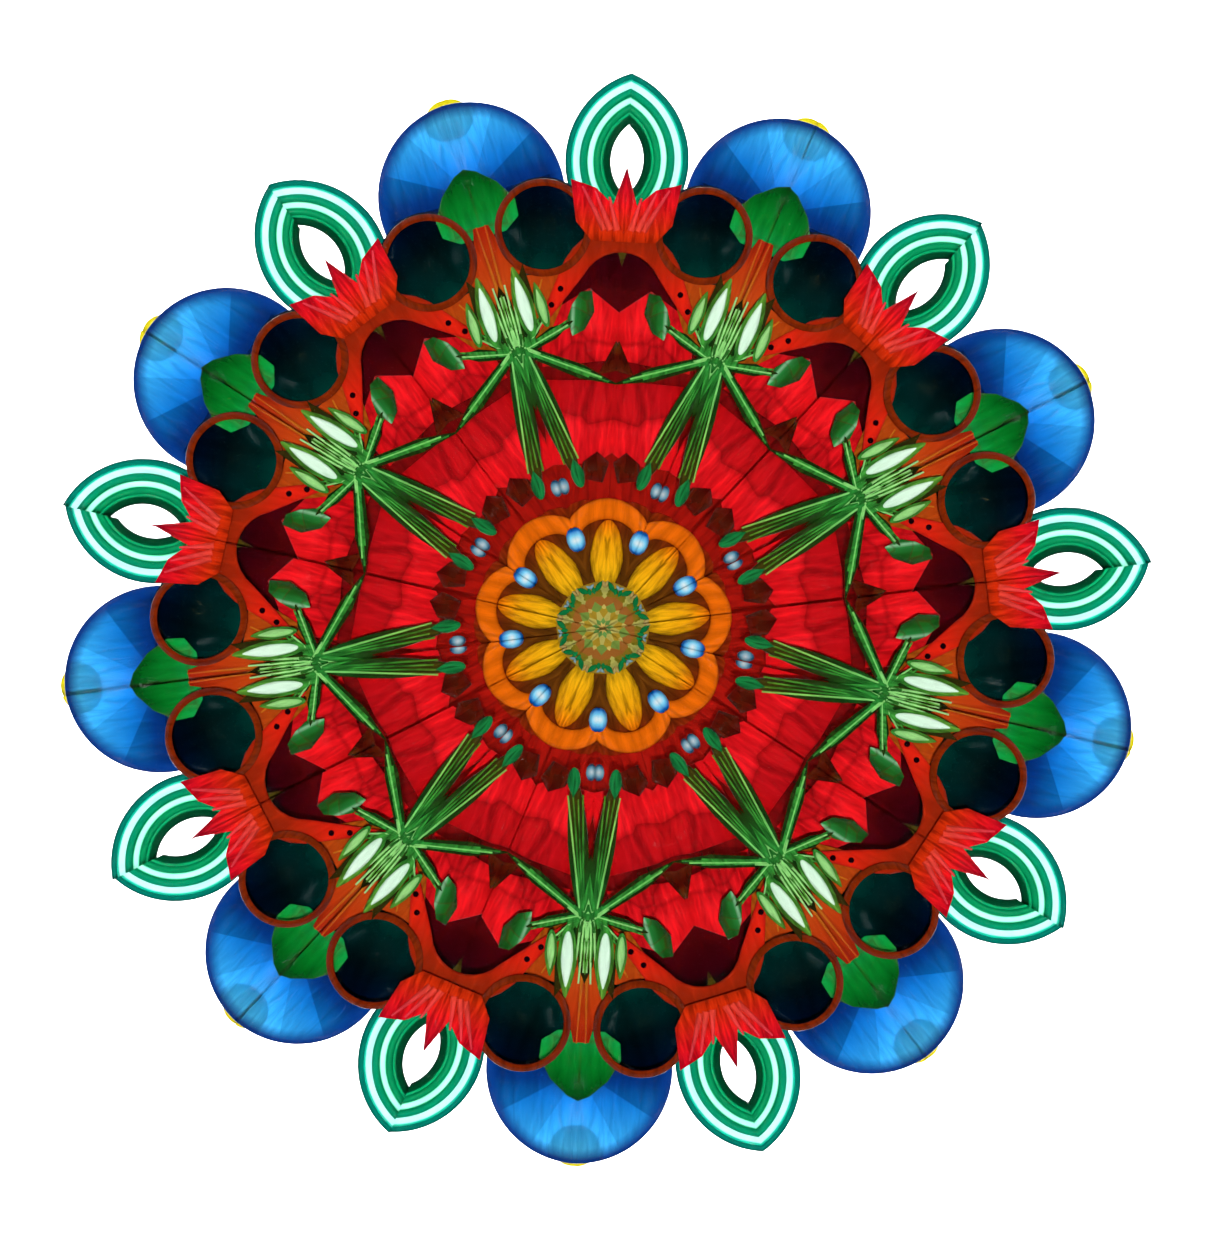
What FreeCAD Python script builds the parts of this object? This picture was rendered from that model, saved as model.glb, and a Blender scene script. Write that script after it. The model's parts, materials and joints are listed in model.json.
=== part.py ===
import FreeCAD, Part
import math
import os
import re
import Sketcher
from FreeCAD import Placement, Rotation, Vector

# A two-mirror kaleidoscope: a six-sided wooden barrel with brass ends, a tapered pair of front-surface
# mirrors 20 degrees apart, and an object cell that turns on the rear flange with its glass pieces in it.
# The barrel's axis runs along Y, eyepiece at -Y, and the barrel lies on one of its six flats at Z = 0.

SIZES = {
    # barrel
    "apothem": 32, "stave_thick": 5, "barrel_length": 188, "edge_break": 0.8, "pilot_depth": 9.5,
    # brass ends
    "flange_thick": 4, "screw_radius": 1, "head_radius": 1.6, "head_thick": 1, "screw_length": 12,
    "slot_width": 0.5, "slot_depth": 0.5, "screw_offset": 13, "running_gap": 0.05,
    # eyepiece
    "eyepiece_length": 14, "rim_radius": 17.5, "rim_length": 4, "neck_radius": 14.5, "foot_radius": 19,
    "foot_length": 2.5, "eye_thread_radius": 13, "dish_radius": 13, "dish_depth": 2.2,
    "lens_radius": 8, "lens_thick": 1.6, "retainer_thick": 1.2, "retainer_hole": 5.8, "eye_hole": 5,
    # mirrors, measured down or up from the barrel's axis
    "mirror_angle": 20, "mirror_thick": 2, "apex_drop_front": 5, "apex_drop_rear": 24.4,
    "mirror_top": 23.2, "mirror_setback": 0.4, "cover_thick": 1, "tape_width": 5, "tape_thick": 0.3,
    "block_thick": 6, "block_gap": 0.1, "block_inset": 14, "pad_width": 14, "pad_length": 24,
    "front_pad_inset": 40, "rear_pad_inset": 64, "pad_squash": 0.25,
    # bearing and object cell
    "spigot_radius": 27.6, "spigot_bore": 25.9, "spigot_length": 8.5, "keeper_depth": 0.8,
    "keeper_width": 2.2, "keeper_place": 4.6, "washer_thick": 0.4, "drum_radius": 29.2,
    "drum_start": 0.5, "window_gap": 0.4, "cell_window_radius": 27.5, "inner_window_thick": 1.5,
    "chamber_radius": 26.3, "chamber_depth": 13.6, "outer_window_thick": 2,
    "grip_radius": 30.9, "grip_length": 8.9, "grip_teeth": 60, "tooth_depth": 0.7,
    "bezel_radius": 30.6, "bezel_length": 7, "bezel_lip": 1.2, "set_screw_radius": 1,
    # glass pieces
    "slab_pitch": 1.2, "chip_thick": 1,
    "disc_radius": 5.5, "disc_thick": 1.8, "ring_outer": 5.2, "ring_hole": 2.6, "ring_thick": 1.6,
    "hoop_outer": 2.7, "hoop_hole": 2.3, "fan_radius": 7.4, "fan_notch": 0.45,
}

os.makedirs("parts", exist_ok=True)
doc = FreeCAD.newDocument("kaleidoscope")
sheet = doc.addObject("Spreadsheet::Sheet", "Sizes")
for row, (word, figure) in enumerate(SIZES.items(), start=1):
    sheet.set(f"A{row}", word)
    sheet.set(f"B{row}", str(figure))
    sheet.setAlias(f"B{row}", word)
doc.recompute()

HEX = 6
UNIT_X, UNIT_Y, UNIT_Z = Vector(1, 0, 0), Vector(0, 1, 0), Vector(0, 0, 1)
ALONG_AXIS = Rotation(UNIT_X, -90)      # a piece made upwards points back along the barrel
FACE_ON = Rotation(UNIT_X, 90)          # a piece made flat stands up and faces the eyepiece

finished = []


# ---- tools for making pieces from the sheet's sizes ----

def amount(formula):
    """What a formula comes to: sheet words and figures joined by ' + ', ' - ' and ' * '."""
    if not isinstance(formula, str):
        return float(formula)
    total = 0.0
    for term in formula.replace(" - ", " + -").split(" + "):
        product = 1.0
        for factor in term.split(" * "):
            bare = factor.lstrip("-")
            size = SIZES[bare] if bare in SIZES else float(bare)
            product *= -size if factor.startswith("-") else size
        total += product
    return total


def bind(thing, prop, formula):
    """Ties a property to the sheet."""
    if isinstance(formula, str):
        thing.setExpression(prop, re.sub(r"[a-z_]{4,}", lambda found: "Sizes." + found[0], formula))


def finish(thing, label):
    """Gives a piece its name and puts it on the list of pieces to write."""
    thing.Label = label
    finished.append(thing)
    return thing


def lay(thing, start, roll=0):
    """Puts a piece on the barrel's axis, pointing back, from the place `start` along Y."""
    turn = Rotation(UNIT_Y, roll).multiply(ALONG_AXIS)
    thing.Placement = Placement(Vector(0, amount(start), amount("apothem")), turn)
    bind(thing, "Placement.Base.y", start)
    bind(thing, "Placement.Base.z", "apothem")


def plane(body, role):
    return next(feature for feature in body.Origin.OriginFeatures if feature.Role == role)


def new_sketch(body, name, role="XY_Plane", height=0):
    sketch = body.newObject("Sketcher::SketchObject", name)
    sketch.AttachmentSupport = [(plane(body, role), "")]
    sketch.MapMode = "FlatFace"
    if height:
        sketch.AttachmentOffset = Placement(Vector(0, 0, amount(height)), Rotation())
        bind(sketch, "AttachmentOffset.Base.z", height)
    return sketch


def outline(sketch, points):
    """A closed outline of straight runs, each corner held by the sheet's sizes where it is a formula."""
    corners = [Vector(amount(across), amount(up), 0) for across, up in points]
    lines = [sketch.addGeometry(Part.LineSegment(corner, corners[(n + 1) % len(corners)]), False)
             for n, corner in enumerate(corners)]
    for n, line in enumerate(lines):
        sketch.addConstraint(Sketcher.Constraint("Coincident", line, 2, lines[(n + 1) % len(lines)], 1))
        for kind, formula in zip(("DistanceX", "DistanceY"), points[n]):
            if isinstance(formula, str):
                held = sketch.addConstraint(Sketcher.Constraint(kind, -1, 1, line, 1, amount(formula)))
                bind(sketch, f"Constraints[{held}]", formula)


def circles(sketch, centres, radius):
    for across, up in centres:
        ring = sketch.addGeometry(Part.Circle(Vector(across, up, 0), UNIT_Z, amount(radius)), False)
        held = sketch.addConstraint(Sketcher.Constraint("Radius", ring, amount(radius)))
        bind(sketch, f"Constraints[{held}]", radius)


def pad(body, sketch, length, name="Pad"):
    feature = body.newObject("PartDesign::Pad", name)
    feature.Profile = sketch
    feature.Length = amount(length)
    bind(feature, "Length", length)
    return feature


def pocket(body, sketch, depth, name, upwards=False):
    """Cuts down from the sketch, or up from it, and makes sure that something was cut."""
    doc.recompute()
    before = body.Shape.Volume
    feature = body.newObject("PartDesign::Pocket", name)
    feature.Profile = sketch
    feature.Length = amount(depth)
    feature.Reversed = upwards
    bind(feature, "Length", depth)
    doc.recompute()
    if body.Shape.Volume >= before:
        raise RuntimeError(f"{body.Label}: {name} cuts nothing")
    return feature


def turned(label, profile, start):
    """A lathe-made piece from its half section: (radius, distance along the axis) points."""
    body = doc.addObject("PartDesign::Body", label)
    sketch = new_sketch(body, label + "_section", "XZ_Plane")
    outline(sketch, profile)
    lathe = body.newObject("PartDesign::Revolution", label + "_turning")
    lathe.Profile = sketch
    lathe.ReferenceAxis = (sketch, ["V_Axis"])
    lathe.Angle = 360
    lay(body, start)
    return finish(body, label)


def plate_body(label, points, thick):
    """A flat piece: an outline in the XY plane, padded upwards."""
    body = doc.addObject("PartDesign::Body", label)
    sketch = new_sketch(body, label + "_outline")
    outline(sketch, points)
    pad(body, sketch, thick, label + "_pad")
    return body


def hexagon(radius):
    """Corners of a six-sided outline with a flat at the top and at the bottom."""
    corners = [math.radians(60 * n) for n in range(HEX)]
    return [(radius * math.cos(turn), radius * math.sin(turn)) for turn in corners]


def polar(radius, degrees):
    return radius * math.cos(math.radians(degrees)), radius * math.sin(math.radians(degrees))


# ---- places along the axis, from the eyepiece's front end at -Y to the bezel's back at +Y ----

CELL_LENGTH = ("spigot_length + window_gap + inner_window_thick + chamber_depth"
               " + outer_window_thick + bezel_lip")
WHOLE_LENGTH = "eyepiece_length + barrel_length + 2 * flange_thick + " + CELL_LENGTH
half_length = amount(WHOLE_LENGTH) / 2
front_flange_at = amount("eyepiece_length") - half_length
barrel_at = front_flange_at + amount("flange_thick")
rear_flange_at = barrel_at + amount("barrel_length")
rear_face_at = rear_flange_at + amount("flange_thick")
spigot_end_at = rear_face_at + amount("spigot_length")
inner_window_at = spigot_end_at + amount("window_gap")
chamber_at = inner_window_at + amount("inner_window_thick")
outer_window_at = chamber_at + amount("chamber_depth")
bezel_end_at = outer_window_at + amount("outer_window_thick + bezel_lip")

screw_places = []
for side in range(HEX):
    for offset in (-SIZES["screw_offset"], SIZES["screw_offset"]):
        reach = amount("apothem") - amount("stave_thick") / 2
        facing = math.radians(60 * side + 90)
        screw_places.append((reach * math.cos(facing) - offset * math.sin(facing),
                             reach * math.sin(facing) + offset * math.cos(facing)))


# ---- barrel: six mitred staves ----

STAVES = ["stave_bottom", "stave_left_lower", "stave_left_upper",
          "stave_top", "stave_right_upper", "stave_right_lower"]

outer, inner = amount("apothem"), amount("apothem - stave_thick")
mitre = math.tan(math.radians(30))
edge = amount("edge_break")
# The stave is drawn below the axis, where local Y points down.
stave_section = [(-inner * mitre, inner), (inner * mitre, inner), ((outer - edge) * mitre, outer - edge),
                 ((outer - edge) * mitre - edge / 2, outer), (edge / 2 - (outer - edge) * mitre, outer),
                 (-(outer - edge) * mitre, outer - edge)]
for number, label in enumerate(STAVES):
    stave = plate_body(label, stave_section, "barrel_length")
    for end, height, upwards in (("front", 0, True), ("rear", "barrel_length", False)):
        pilots = new_sketch(stave, f"{label}_{end}_pilots", height=height)
        circles(pilots, [screw_places[0], screw_places[1]], "screw_radius + running_gap")
        pocket(stave, pilots, "pilot_depth", f"{label}_{end}_holes", upwards)
    lay(stave, barrel_at, roll=60 * number)
    finish(stave, label)


# ---- brass flanges and their screws ----

def flange(label, start, counterbore_height, counterbore_upwards):
    """A six-sided brass plate that closes a barrel end, drilled for twelve screws."""
    body = plate_body(label, hexagon(amount("apothem") / math.cos(math.radians(30))), "flange_thick")
    holes = new_sketch(body, label + "_hole_places")
    circles(holes, screw_places, "screw_radius + running_gap")
    pocket(body, holes, "flange_thick", label + "_holes", upwards=True)
    seats = new_sketch(body, label + "_seat_places", height=counterbore_height)
    circles(seats, screw_places, "head_radius + running_gap")
    pocket(body, seats, "head_thick", label + "_seats", counterbore_upwards)
    lay(body, start)
    return body


def screw_group(label, start, down_from_head):
    """Twelve slotted screws, heads first; they are separate solids of one group."""
    body = doc.addObject("PartDesign::Body", label)
    body.AllowCompound = True
    heads = new_sketch(body, label + "_heads")
    circles(heads, screw_places, "head_radius")
    pad(body, heads, "head_thick", label + "_head_pads")
    shanks = new_sketch(body, label + "_shanks")
    circles(shanks, screw_places, "screw_radius")
    pad(body, shanks, "screw_length", label + "_shank_pads")
    slots = new_sketch(body, label + "_slots")
    half, reach = amount("slot_width") / 2, amount("head_radius") + 0.1
    for across, up in screw_places:
        outline(slots, [(across - reach, up - half), (across + reach, up - half),
                        (across + reach, up + half), (across - reach, up + half)])
    pocket(body, slots, "slot_depth", label + "_slot_cuts", upwards=True)
    body.Placement = Placement(Vector(0, start, amount("apothem")),
                               ALONG_AXIS if down_from_head else ALONG_AXIS.inverted())
    return finish(body, label)


front_flange = flange("front_flange", front_flange_at, 0, True)
eye_thread = new_sketch(front_flange, "eye_thread_place")
circles(eye_thread, [(0, 0)], "eye_thread_radius + running_gap")
pocket(front_flange, eye_thread, "flange_thick", "eye_thread_hole", upwards=True)
finish(front_flange, "front_flange")
screw_group("front_flange_screws", front_flange_at, True)

rear_flange = flange("rear_flange", rear_flange_at, "flange_thick", False)
spigot_place = new_sketch(rear_flange, "spigot_place")
circles(spigot_place, [(0, 0)], "spigot_radius")
pad(rear_flange, spigot_place, "flange_thick + spigot_length", "spigot")
bore_place = new_sketch(rear_flange, "bore_place")
circles(bore_place, [(0, 0)], "spigot_bore")
pocket(rear_flange, bore_place, "flange_thick + spigot_length", "spigot_bore_cut", upwards=True)
keeper_section = new_sketch(rear_flange, "keeper_section", "XZ_Plane")
keeper_low = "flange_thick + keeper_place - 0.5 * keeper_width"
keeper_high = "flange_thick + keeper_place + 0.5 * keeper_width"
outline(keeper_section, [("spigot_radius - keeper_depth", keeper_low), ("spigot_radius + 1", keeper_low),
                         ("spigot_radius + 1", keeper_high), ("spigot_radius - keeper_depth", keeper_high)])
doc.recompute()
volume_before = rear_flange.Shape.Volume
keeper_groove = rear_flange.newObject("PartDesign::Groove", "keeper_groove")
keeper_groove.Profile = keeper_section
keeper_groove.ReferenceAxis = (keeper_section, ["V_Axis"])
keeper_groove.Angle = 360
doc.recompute()
if rear_flange.Shape.Volume >= volume_before:
    raise RuntimeError("the keeper groove cuts nothing")
finish(rear_flange, "rear_flange")
screw_group("rear_flange_screws", rear_face_at, False)


# ---- eyepiece, its window and the ring that holds the window ----

turned("eyepiece", [
    ("dish_radius", 0), ("rim_radius - 0.8", 0), ("rim_radius", 0.8), ("rim_radius", "rim_length - 0.8"),
    ("rim_radius - 0.8", "rim_length"), ("neck_radius", "rim_length + 2"),
    ("neck_radius", "eyepiece_length - foot_length - 1"),
    ("foot_radius - 0.6", "eyepiece_length - foot_length"),
    ("foot_radius", "eyepiece_length - foot_length + 0.6"), ("foot_radius", "eyepiece_length"),
    ("eye_thread_radius", "eyepiece_length"), ("eye_thread_radius", "eyepiece_length + flange_thick"),
    ("eye_hole", "eyepiece_length + flange_thick"),
    ("eye_hole", "dish_depth + retainer_thick + lens_thick"),
    ("lens_radius + running_gap", "dish_depth + retainer_thick + lens_thick"),
    ("lens_radius + running_gap", "dish_depth")], -half_length)
turned("eye_retainer", [
    ("retainer_hole", "0.4"), ("retainer_hole + 0.4", 0), ("lens_radius", 0),
    ("lens_radius", "retainer_thick"), ("retainer_hole", "retainer_thick")],
    amount("dish_depth") - half_length)
turned("eye_window", [
    (0, 0), ("lens_radius - 0.2", 0), ("lens_radius", 0.2), ("lens_radius", "lens_thick"), (0, "lens_thick")],
    amount("dish_depth + retainer_thick") - half_length)


# ---- the mirrors: two tapered strips that meet at the apex line, which falls towards the cell ----

axis_height = amount("apothem")
mirror_front_at = barrel_at + amount("mirror_setback")
mirror_rear_at = spigot_end_at - 0.2
run = mirror_rear_at - mirror_front_at
fall = amount("apex_drop_rear - apex_drop_front")
taper = math.atan2(fall, run)
half_angle = math.radians(amount("mirror_angle") / 2)
apex_front = Vector(0, mirror_front_at, axis_height - amount("apex_drop_front"))
down_line = Vector(0, math.cos(taper), -math.sin(taper))
off_line = Vector(0, math.sin(taper), math.cos(taper))
top_rise = amount("mirror_top + apex_drop_front")


def on_mirror(along, rise):
    """A point of a mirror, (down the apex line, out from it), from its place along Y and its rise."""
    down = along * math.cos(taper) - rise * math.sin(taper)
    out = along * math.sin(taper) + rise * math.cos(taper)
    return down, out / math.cos(half_angle)


mirror_outline = [on_mirror(0, 0), on_mirror(run, -fall), on_mirror(run, top_rise), on_mirror(0, top_rise)]
for label, side in (("mirror_left", -1), ("mirror_right", 1)):
    mirror = plate_body(label, mirror_outline, "mirror_thick")
    mirror.Tip.Reversed = side < 0
    outwards = off_line * math.cos(half_angle) + UNIT_X * side * math.sin(half_angle)
    mirror.Placement = Placement(apex_front, Rotation(down_line, outwards, down_line.cross(outwards), "XYZ"))
    finish(mirror, label)

sill = amount("mirror_thick") * math.cos(half_angle)
front_half = top_rise * math.tan(half_angle) + sill
rear_half = (top_rise + fall) * math.tan(half_angle) + sill
cover_run = rear_flange_at - 0.3 - mirror_front_at
cover_half = front_half + (rear_half - front_half) * cover_run / run
cover = plate_body("mirror_cover", [(-front_half, 0), (front_half, 0), (cover_half, cover_run),
                                    (-cover_half, cover_run)], "cover_thick")
cover.Placement = Placement(Vector(0, mirror_front_at, axis_height + amount("mirror_top") + 0.05), Rotation())
finish(cover, "mirror_cover")

tape = doc.addObject("Part::Box", "apex_tape")
bind(tape, "Length", "tape_width")
tape.Width = run / math.cos(taper)
bind(tape, "Height", "tape_thick")
tape_drop = amount("mirror_thick") * math.sin(half_angle) + amount("tape_thick") + 0.02
tape.Placement = Placement(apex_front - off_line * tape_drop - UNIT_X * amount("tape_width") / 2,
                           Rotation(UNIT_X, -math.degrees(taper)))
finish(tape, "apex_tape")

# Each notched block holds the pair of mirrors in the barrel; the notch leaves its top open.
back = amount("mirror_thick + block_gap")
notch_reach = 80
notch_half = back * math.cos(half_angle) + notch_reach * math.sin(half_angle)
notch_top = notch_reach * math.cos(half_angle)
tape_half = amount("tape_width") / 2 + amount("block_gap")
notch_section = [(-tape_half, -tape_drop - 0.1), (tape_half, -tape_drop - 0.1),
                 (notch_half, notch_top), (-notch_half, notch_top)]
for label, place in (("front_mirror_block", mirror_front_at + amount("block_inset")),
                     ("rear_mirror_block", rear_flange_at - amount("block_inset + block_thick"))):
    blank = plate_body(label + "_blank", hexagon(amount("apothem - stave_thick - running_gap")
                                                 / math.cos(math.radians(30))), "block_thick")
    lay(blank, place)
    notch = plate_body(label + "_notch", notch_section, run)
    notch.Placement = Placement(apex_front, Rotation(UNIT_X * -1, off_line, down_line, "XYZ"))
    block = doc.addObject("Part::Cut", label)
    block.Base = blank
    block.Tool = notch
    finish(block, label)

for label, place in (("front_foam_pad", mirror_front_at + amount("front_pad_inset")),
                     ("rear_foam_pad", rear_flange_at - amount("rear_pad_inset"))):
    foam = doc.addObject("Part::Box", label)
    bind(foam, "Length", "pad_width")
    bind(foam, "Width", "pad_length")
    foam.Height = amount("apothem - stave_thick - mirror_top - cover_thick - pad_squash")
    foam.Placement.Base = Vector(-amount("pad_width") / 2, place,
                                 axis_height + amount("mirror_top + cover_thick") + 0.15)
    finish(foam, label)


# ---- the object cell: a clear drum that turns on the spigot ----

turned("thrust_washer", [
    ("spigot_radius + 0.2", 0), ("drum_radius", 0), ("drum_radius", "washer_thick"),
    ("spigot_radius + 0.2", "washer_thick")], rear_face_at)

SKIRT = "spigot_length + window_gap - drum_start"
DRUM = SKIRT + " + inner_window_thick + chamber_depth + outer_window_thick"
drum = turned("cell_drum", [
    ("spigot_radius + running_gap", 0), ("drum_radius", 0), ("drum_radius", DRUM),
    ("cell_window_radius + running_gap", DRUM),
    ("cell_window_radius + running_gap", DRUM + " - outer_window_thick"),
    ("chamber_radius", DRUM + " - outer_window_thick"), ("chamber_radius", SKIRT + " + inner_window_thick"),
    ("spigot_radius + running_gap", SKIRT + " + inner_window_thick")],
    rear_face_at + amount("drum_start"))

grip_count = int(SIZES["grip_teeth"])
grip_outline = []
for tooth in range(grip_count):
    for share, radius in ((0.0, "grip_radius - tooth_depth"), (0.3, "grip_radius"), (0.7, "grip_radius")):
        grip_outline.append(polar(amount(radius), 360 * (tooth + share) / grip_count))
grip = plate_body("grip_ring", grip_outline, "grip_length")
grip_bore = new_sketch(grip, "grip_bore_place")
circles(grip_bore, [(0, 0)], "drum_radius + running_gap")
pocket(grip, grip_bore, "grip_length", "grip_bore", upwards=True)
lay(grip, rear_face_at + amount("drum_start") + 0.1)
finish(grip, "grip_ring")

for label, thick, place in (("inner_window", "inner_window_thick", inner_window_at),
                            ("outer_window", "outer_window_thick", outer_window_at)):
    turned(label, [(0, 0), ("cell_window_radius", 0), ("cell_window_radius", thick), (0, thick)], place)

turned("cell_bezel", [
    ("drum_radius + running_gap", 0), ("bezel_radius - 0.5", 0), ("bezel_radius", 0.5),
    ("bezel_radius", "bezel_length + bezel_lip - 0.7"), ("bezel_radius - 0.7", "bezel_length + bezel_lip"),
    ("chamber_radius + 0.6", "bezel_length + bezel_lip"), ("chamber_radius", "bezel_length + 0.6"),
    ("chamber_radius", "bezel_length"), ("drum_radius + running_gap", "bezel_length")],
    bezel_end_at - amount("bezel_length + bezel_lip"))

# Three set screws go through grip and drum; their tips run in the spigot's groove and keep the cell on.
KEEPER_TURNS = (90, 210, 330)
keeper_at = rear_face_at + amount("keeper_place")


def radial_pin(label, radius, inside, outside, degrees):
    pin = doc.addObject("Part::Cylinder", label)
    bind(pin, "Radius", radius)
    pin.Height = amount(outside) - amount(inside)
    across, up = polar(1, degrees)
    outward = Vector(across, 0, up)
    pin.Placement = Placement(Vector(0, keeper_at, axis_height) + outward * amount(inside),
                              Rotation(UNIT_Z, outward))
    return pin


def drilled(label):
    """Drills the three set screw holes through a finished piece, which hands its name to the result."""
    piece = next(one for one in finished if one.Label == label)
    finished.remove(piece)
    piece.Label = label + "_blank"
    drills = [radial_pin(f"{label}_drill_{n}", "set_screw_radius + running_gap", "spigot_radius - 0.3",
                         "grip_radius + 1", degrees) for n, degrees in enumerate(KEEPER_TURNS)]
    gang = doc.addObject("Part::MultiFuse", label + "_drills")
    gang.Shapes = drills
    result = doc.addObject("Part::Cut", label + "_drilled")
    result.Base = piece
    result.Tool = gang
    finish(result, label)


drilled("cell_drum")
drilled("grip_ring")
set_screws = doc.addObject("Part::Compound", "cell_set_screws")
set_screws.Links = [radial_pin(f"set_screw_{n}", "set_screw_radius", "spigot_radius - 0.6",
                               "grip_radius - tooth_depth - 0.2", degrees)
                    for n, degrees in enumerate(KEEPER_TURNS)]
finish(set_screws, "cell_set_screws")


# ---- loose glass pieces, in slabs one behind the other from the inner window ----
# A place is given as the eye sees it at the mirrors' far end: (to the right, up from the apex line).
# Sight lines fan out from the eyehole, so a piece deeper in the cell is put further out.

eye_at = mirror_front_at - 0.2
sight_run = mirror_rear_at - eye_at


def in_sight(right, up, along):
    """The point at the place `along` Y that the eye sees at (right, up) from the apex's far end."""
    fan = (along - eye_at) / sight_run
    apex_height = axis_height - amount("apex_drop_rear") * fan
    return Vector(right * fan, along, apex_height + up * fan)


def slab_back(slab, thick):
    """Where the back face lies of a piece in this slab, counted from 0 at the inner window."""
    return chamber_at + 0.3 + slab * amount("slab_pitch") + thick


def set_loose(piece, label, slab, thick, right, up, turn=0, seen=True):
    """Stands a flat-made piece up in its slab, facing the eyepiece, turned clockwise by `turn`."""
    back_face = slab_back(slab, thick)
    spot = in_sight(right, up, back_face) if seen else Vector(right, back_face, axis_height + up)
    piece.Placement = Placement(spot, Rotation(UNIT_Y, turn).multiply(FACE_ON))
    return finish(piece, label)


def by_line(side, out, off):
    """(right, up) of a point `out` along a mirror line and `off` into the wedge from it."""
    across, along = math.sin(half_angle), math.cos(half_angle)
    return side * (out * across - off * along), out * along + off * across


LEFT, RIGHT = -1, 1


def round_piece(label, radius, thick, slab, right, up, hole=None, seen=True):
    """A round piece with broken edges, with or without a hole."""
    body = doc.addObject("PartDesign::Body", label)
    section = new_sketch(body, label + "_section", "XZ_Plane")
    core = hole if hole else 0
    outline(section, [(core, 0), (radius + " - 0.25", 0), (radius, 0.25), (radius, thick + " - 0.25"),
                      (radius + " - 0.25", thick), (core, thick)])
    lathe = body.newObject("PartDesign::Revolution", label + "_turning")
    lathe.Profile = section
    lathe.ReferenceAxis = (section, ["V_Axis"])
    lathe.Angle = 360
    return set_loose(body, label, slab, amount(thick), right, up, seen=seen)


def chip(label, points, slab, right, up, turn=0, thick="chip_thick", seen=True):
    return set_loose(plate_body(label, points, thick), label, slab, amount(thick), right, up, turn, seen)


def oval(half_width, half_height, corners=12):
    """An oval outline; its corners are close enough for a chip a few millimetres long."""
    steps = [math.radians(360 * n / corners) for n in range(corners)]
    return [(half_width * math.cos(step), half_height * math.sin(step)) for step in steps]


def burst(rays):
    """A star outline from (direction, length, half width) rays round its middle, in order of direction."""
    points = []
    for n, (direction, length, half) in enumerate(rays):
        following = rays[(n + 1) % len(rays)][0] + (360 if n + 1 == len(rays) else 0)
        lean = math.degrees(math.atan2(half, 0.6 * length))
        points += [polar(0.6 * length, direction - lean), polar(length, direction),
                   polar(0.6 * length, direction + lean), polar(0.7, (direction + following) / 2)]
    return points


# seen in the wedge, from the apex outwards
round_piece("gold_button", "1.7", "chip_thick", 0, 0, 1.0)
fan_lobes, lobe_turn, fan_start = 7, 20, 22
fan_points = [(-0.9, -0.6), (0.9, -0.6)]
for lobe in range(fan_lobes):
    for share, dip in ((0.0, 1.0), (0.25, 0.2), (0.5, 0.0), (0.75, 0.2)):
        direction = fan_start + lobe_turn * (lobe + share)
        fan_points.append(polar(amount("fan_radius") - dip * amount("fan_notch"), direction))
chip("orange_fan", fan_points, 1, 0, 0)
chip("sky_bead", oval(0.42, 0.7), 0, *by_line(LEFT, 5.2, 0.12), turn=-10)
chip("crystal_drop", oval(0.3, 0.5), 2, *by_line(LEFT, 8.2, 0.25), turn=-10)
chip("garnet_splinter", [(-0.9, -0.6), (0.3, -1.0), (0.8, 0.1), (0.2, 0.8), (-0.7, 0.3)], 4,
     *by_line(RIGHT, 9.0, 0.9))
chip("ruby_shard", [(-2.4, -2.9), (0.3, -3.1), (2.7, -2.0), (2.8, 1.0), (0.9, 1.6), (-2.2, 2.0)], 5,
     *by_line(RIGHT, 12.0, 1.7))
chip("umber_splinter", [(-0.9, -0.8), (0.9, -0.7), (0.35, 0.95)], 3, *by_line(RIGHT, 14.9, 0.3))
chip("ruby_pentagon", [(-2.3, -1.8), (1.9, -1.9), (3.1, 0.0), (0.9, 2.3), (-2.0, 1.0)], 4,
     *by_line(RIGHT, 16.3, 2.2))
star_rays = [(-104, 7.6, 0.5), (-84, 8.1, 0.55), (-37, 5.6, 0.4), (14, 3.2, 0.35), (46, 2.2, 0.3),
             (74, 4.8, 0.65), (98, 4.6, 0.5), (120, 4.8, 0.55), (164, 4.0, 0.35), (217, 5.0, 0.45)]
chip("fern_star", burst(star_rays), 0, *by_line(LEFT, 15.9, 0.35), turn=-10)
leaf_points = [(-0.7, -0.5), (-0.2, -1.4), (0.4, -0.9), (0.7, 0.2), (0.3, 1.3), (-0.3, 1.1), (-0.6, 0.3)]
chip("green_leaf", leaf_points, 1, *by_line(RIGHT, 17.3, 2.1), turn=20)
chip("olive_shard", [(-0.55, 0.7), (0.0, -0.9), (0.55, 0.7)], 3, *by_line(RIGHT, 20.6, 0.0), turn=10)

arch_steps = [math.radians(155 - 13 * n) for n in range(11)]
arch_points = []
for radius, rise, steps in ((3.6, 0.0, arch_steps), (2.35, -0.25, arch_steps[::-1])):
    arch_points += [(radius * math.cos(step), rise + radius * math.sin(step)) for step in steps]
    arch_points += [(math.copysign(5.0, arch_points[-1][0]), -3.3)]
chip("ruby_arch", arch_points, 2, *by_line(RIGHT, 18.6, 0.0), turn=10)
round_piece("garnet_disc", "8.8", "0.8", 9, *by_line(RIGHT, 13.4, 1.5))

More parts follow.
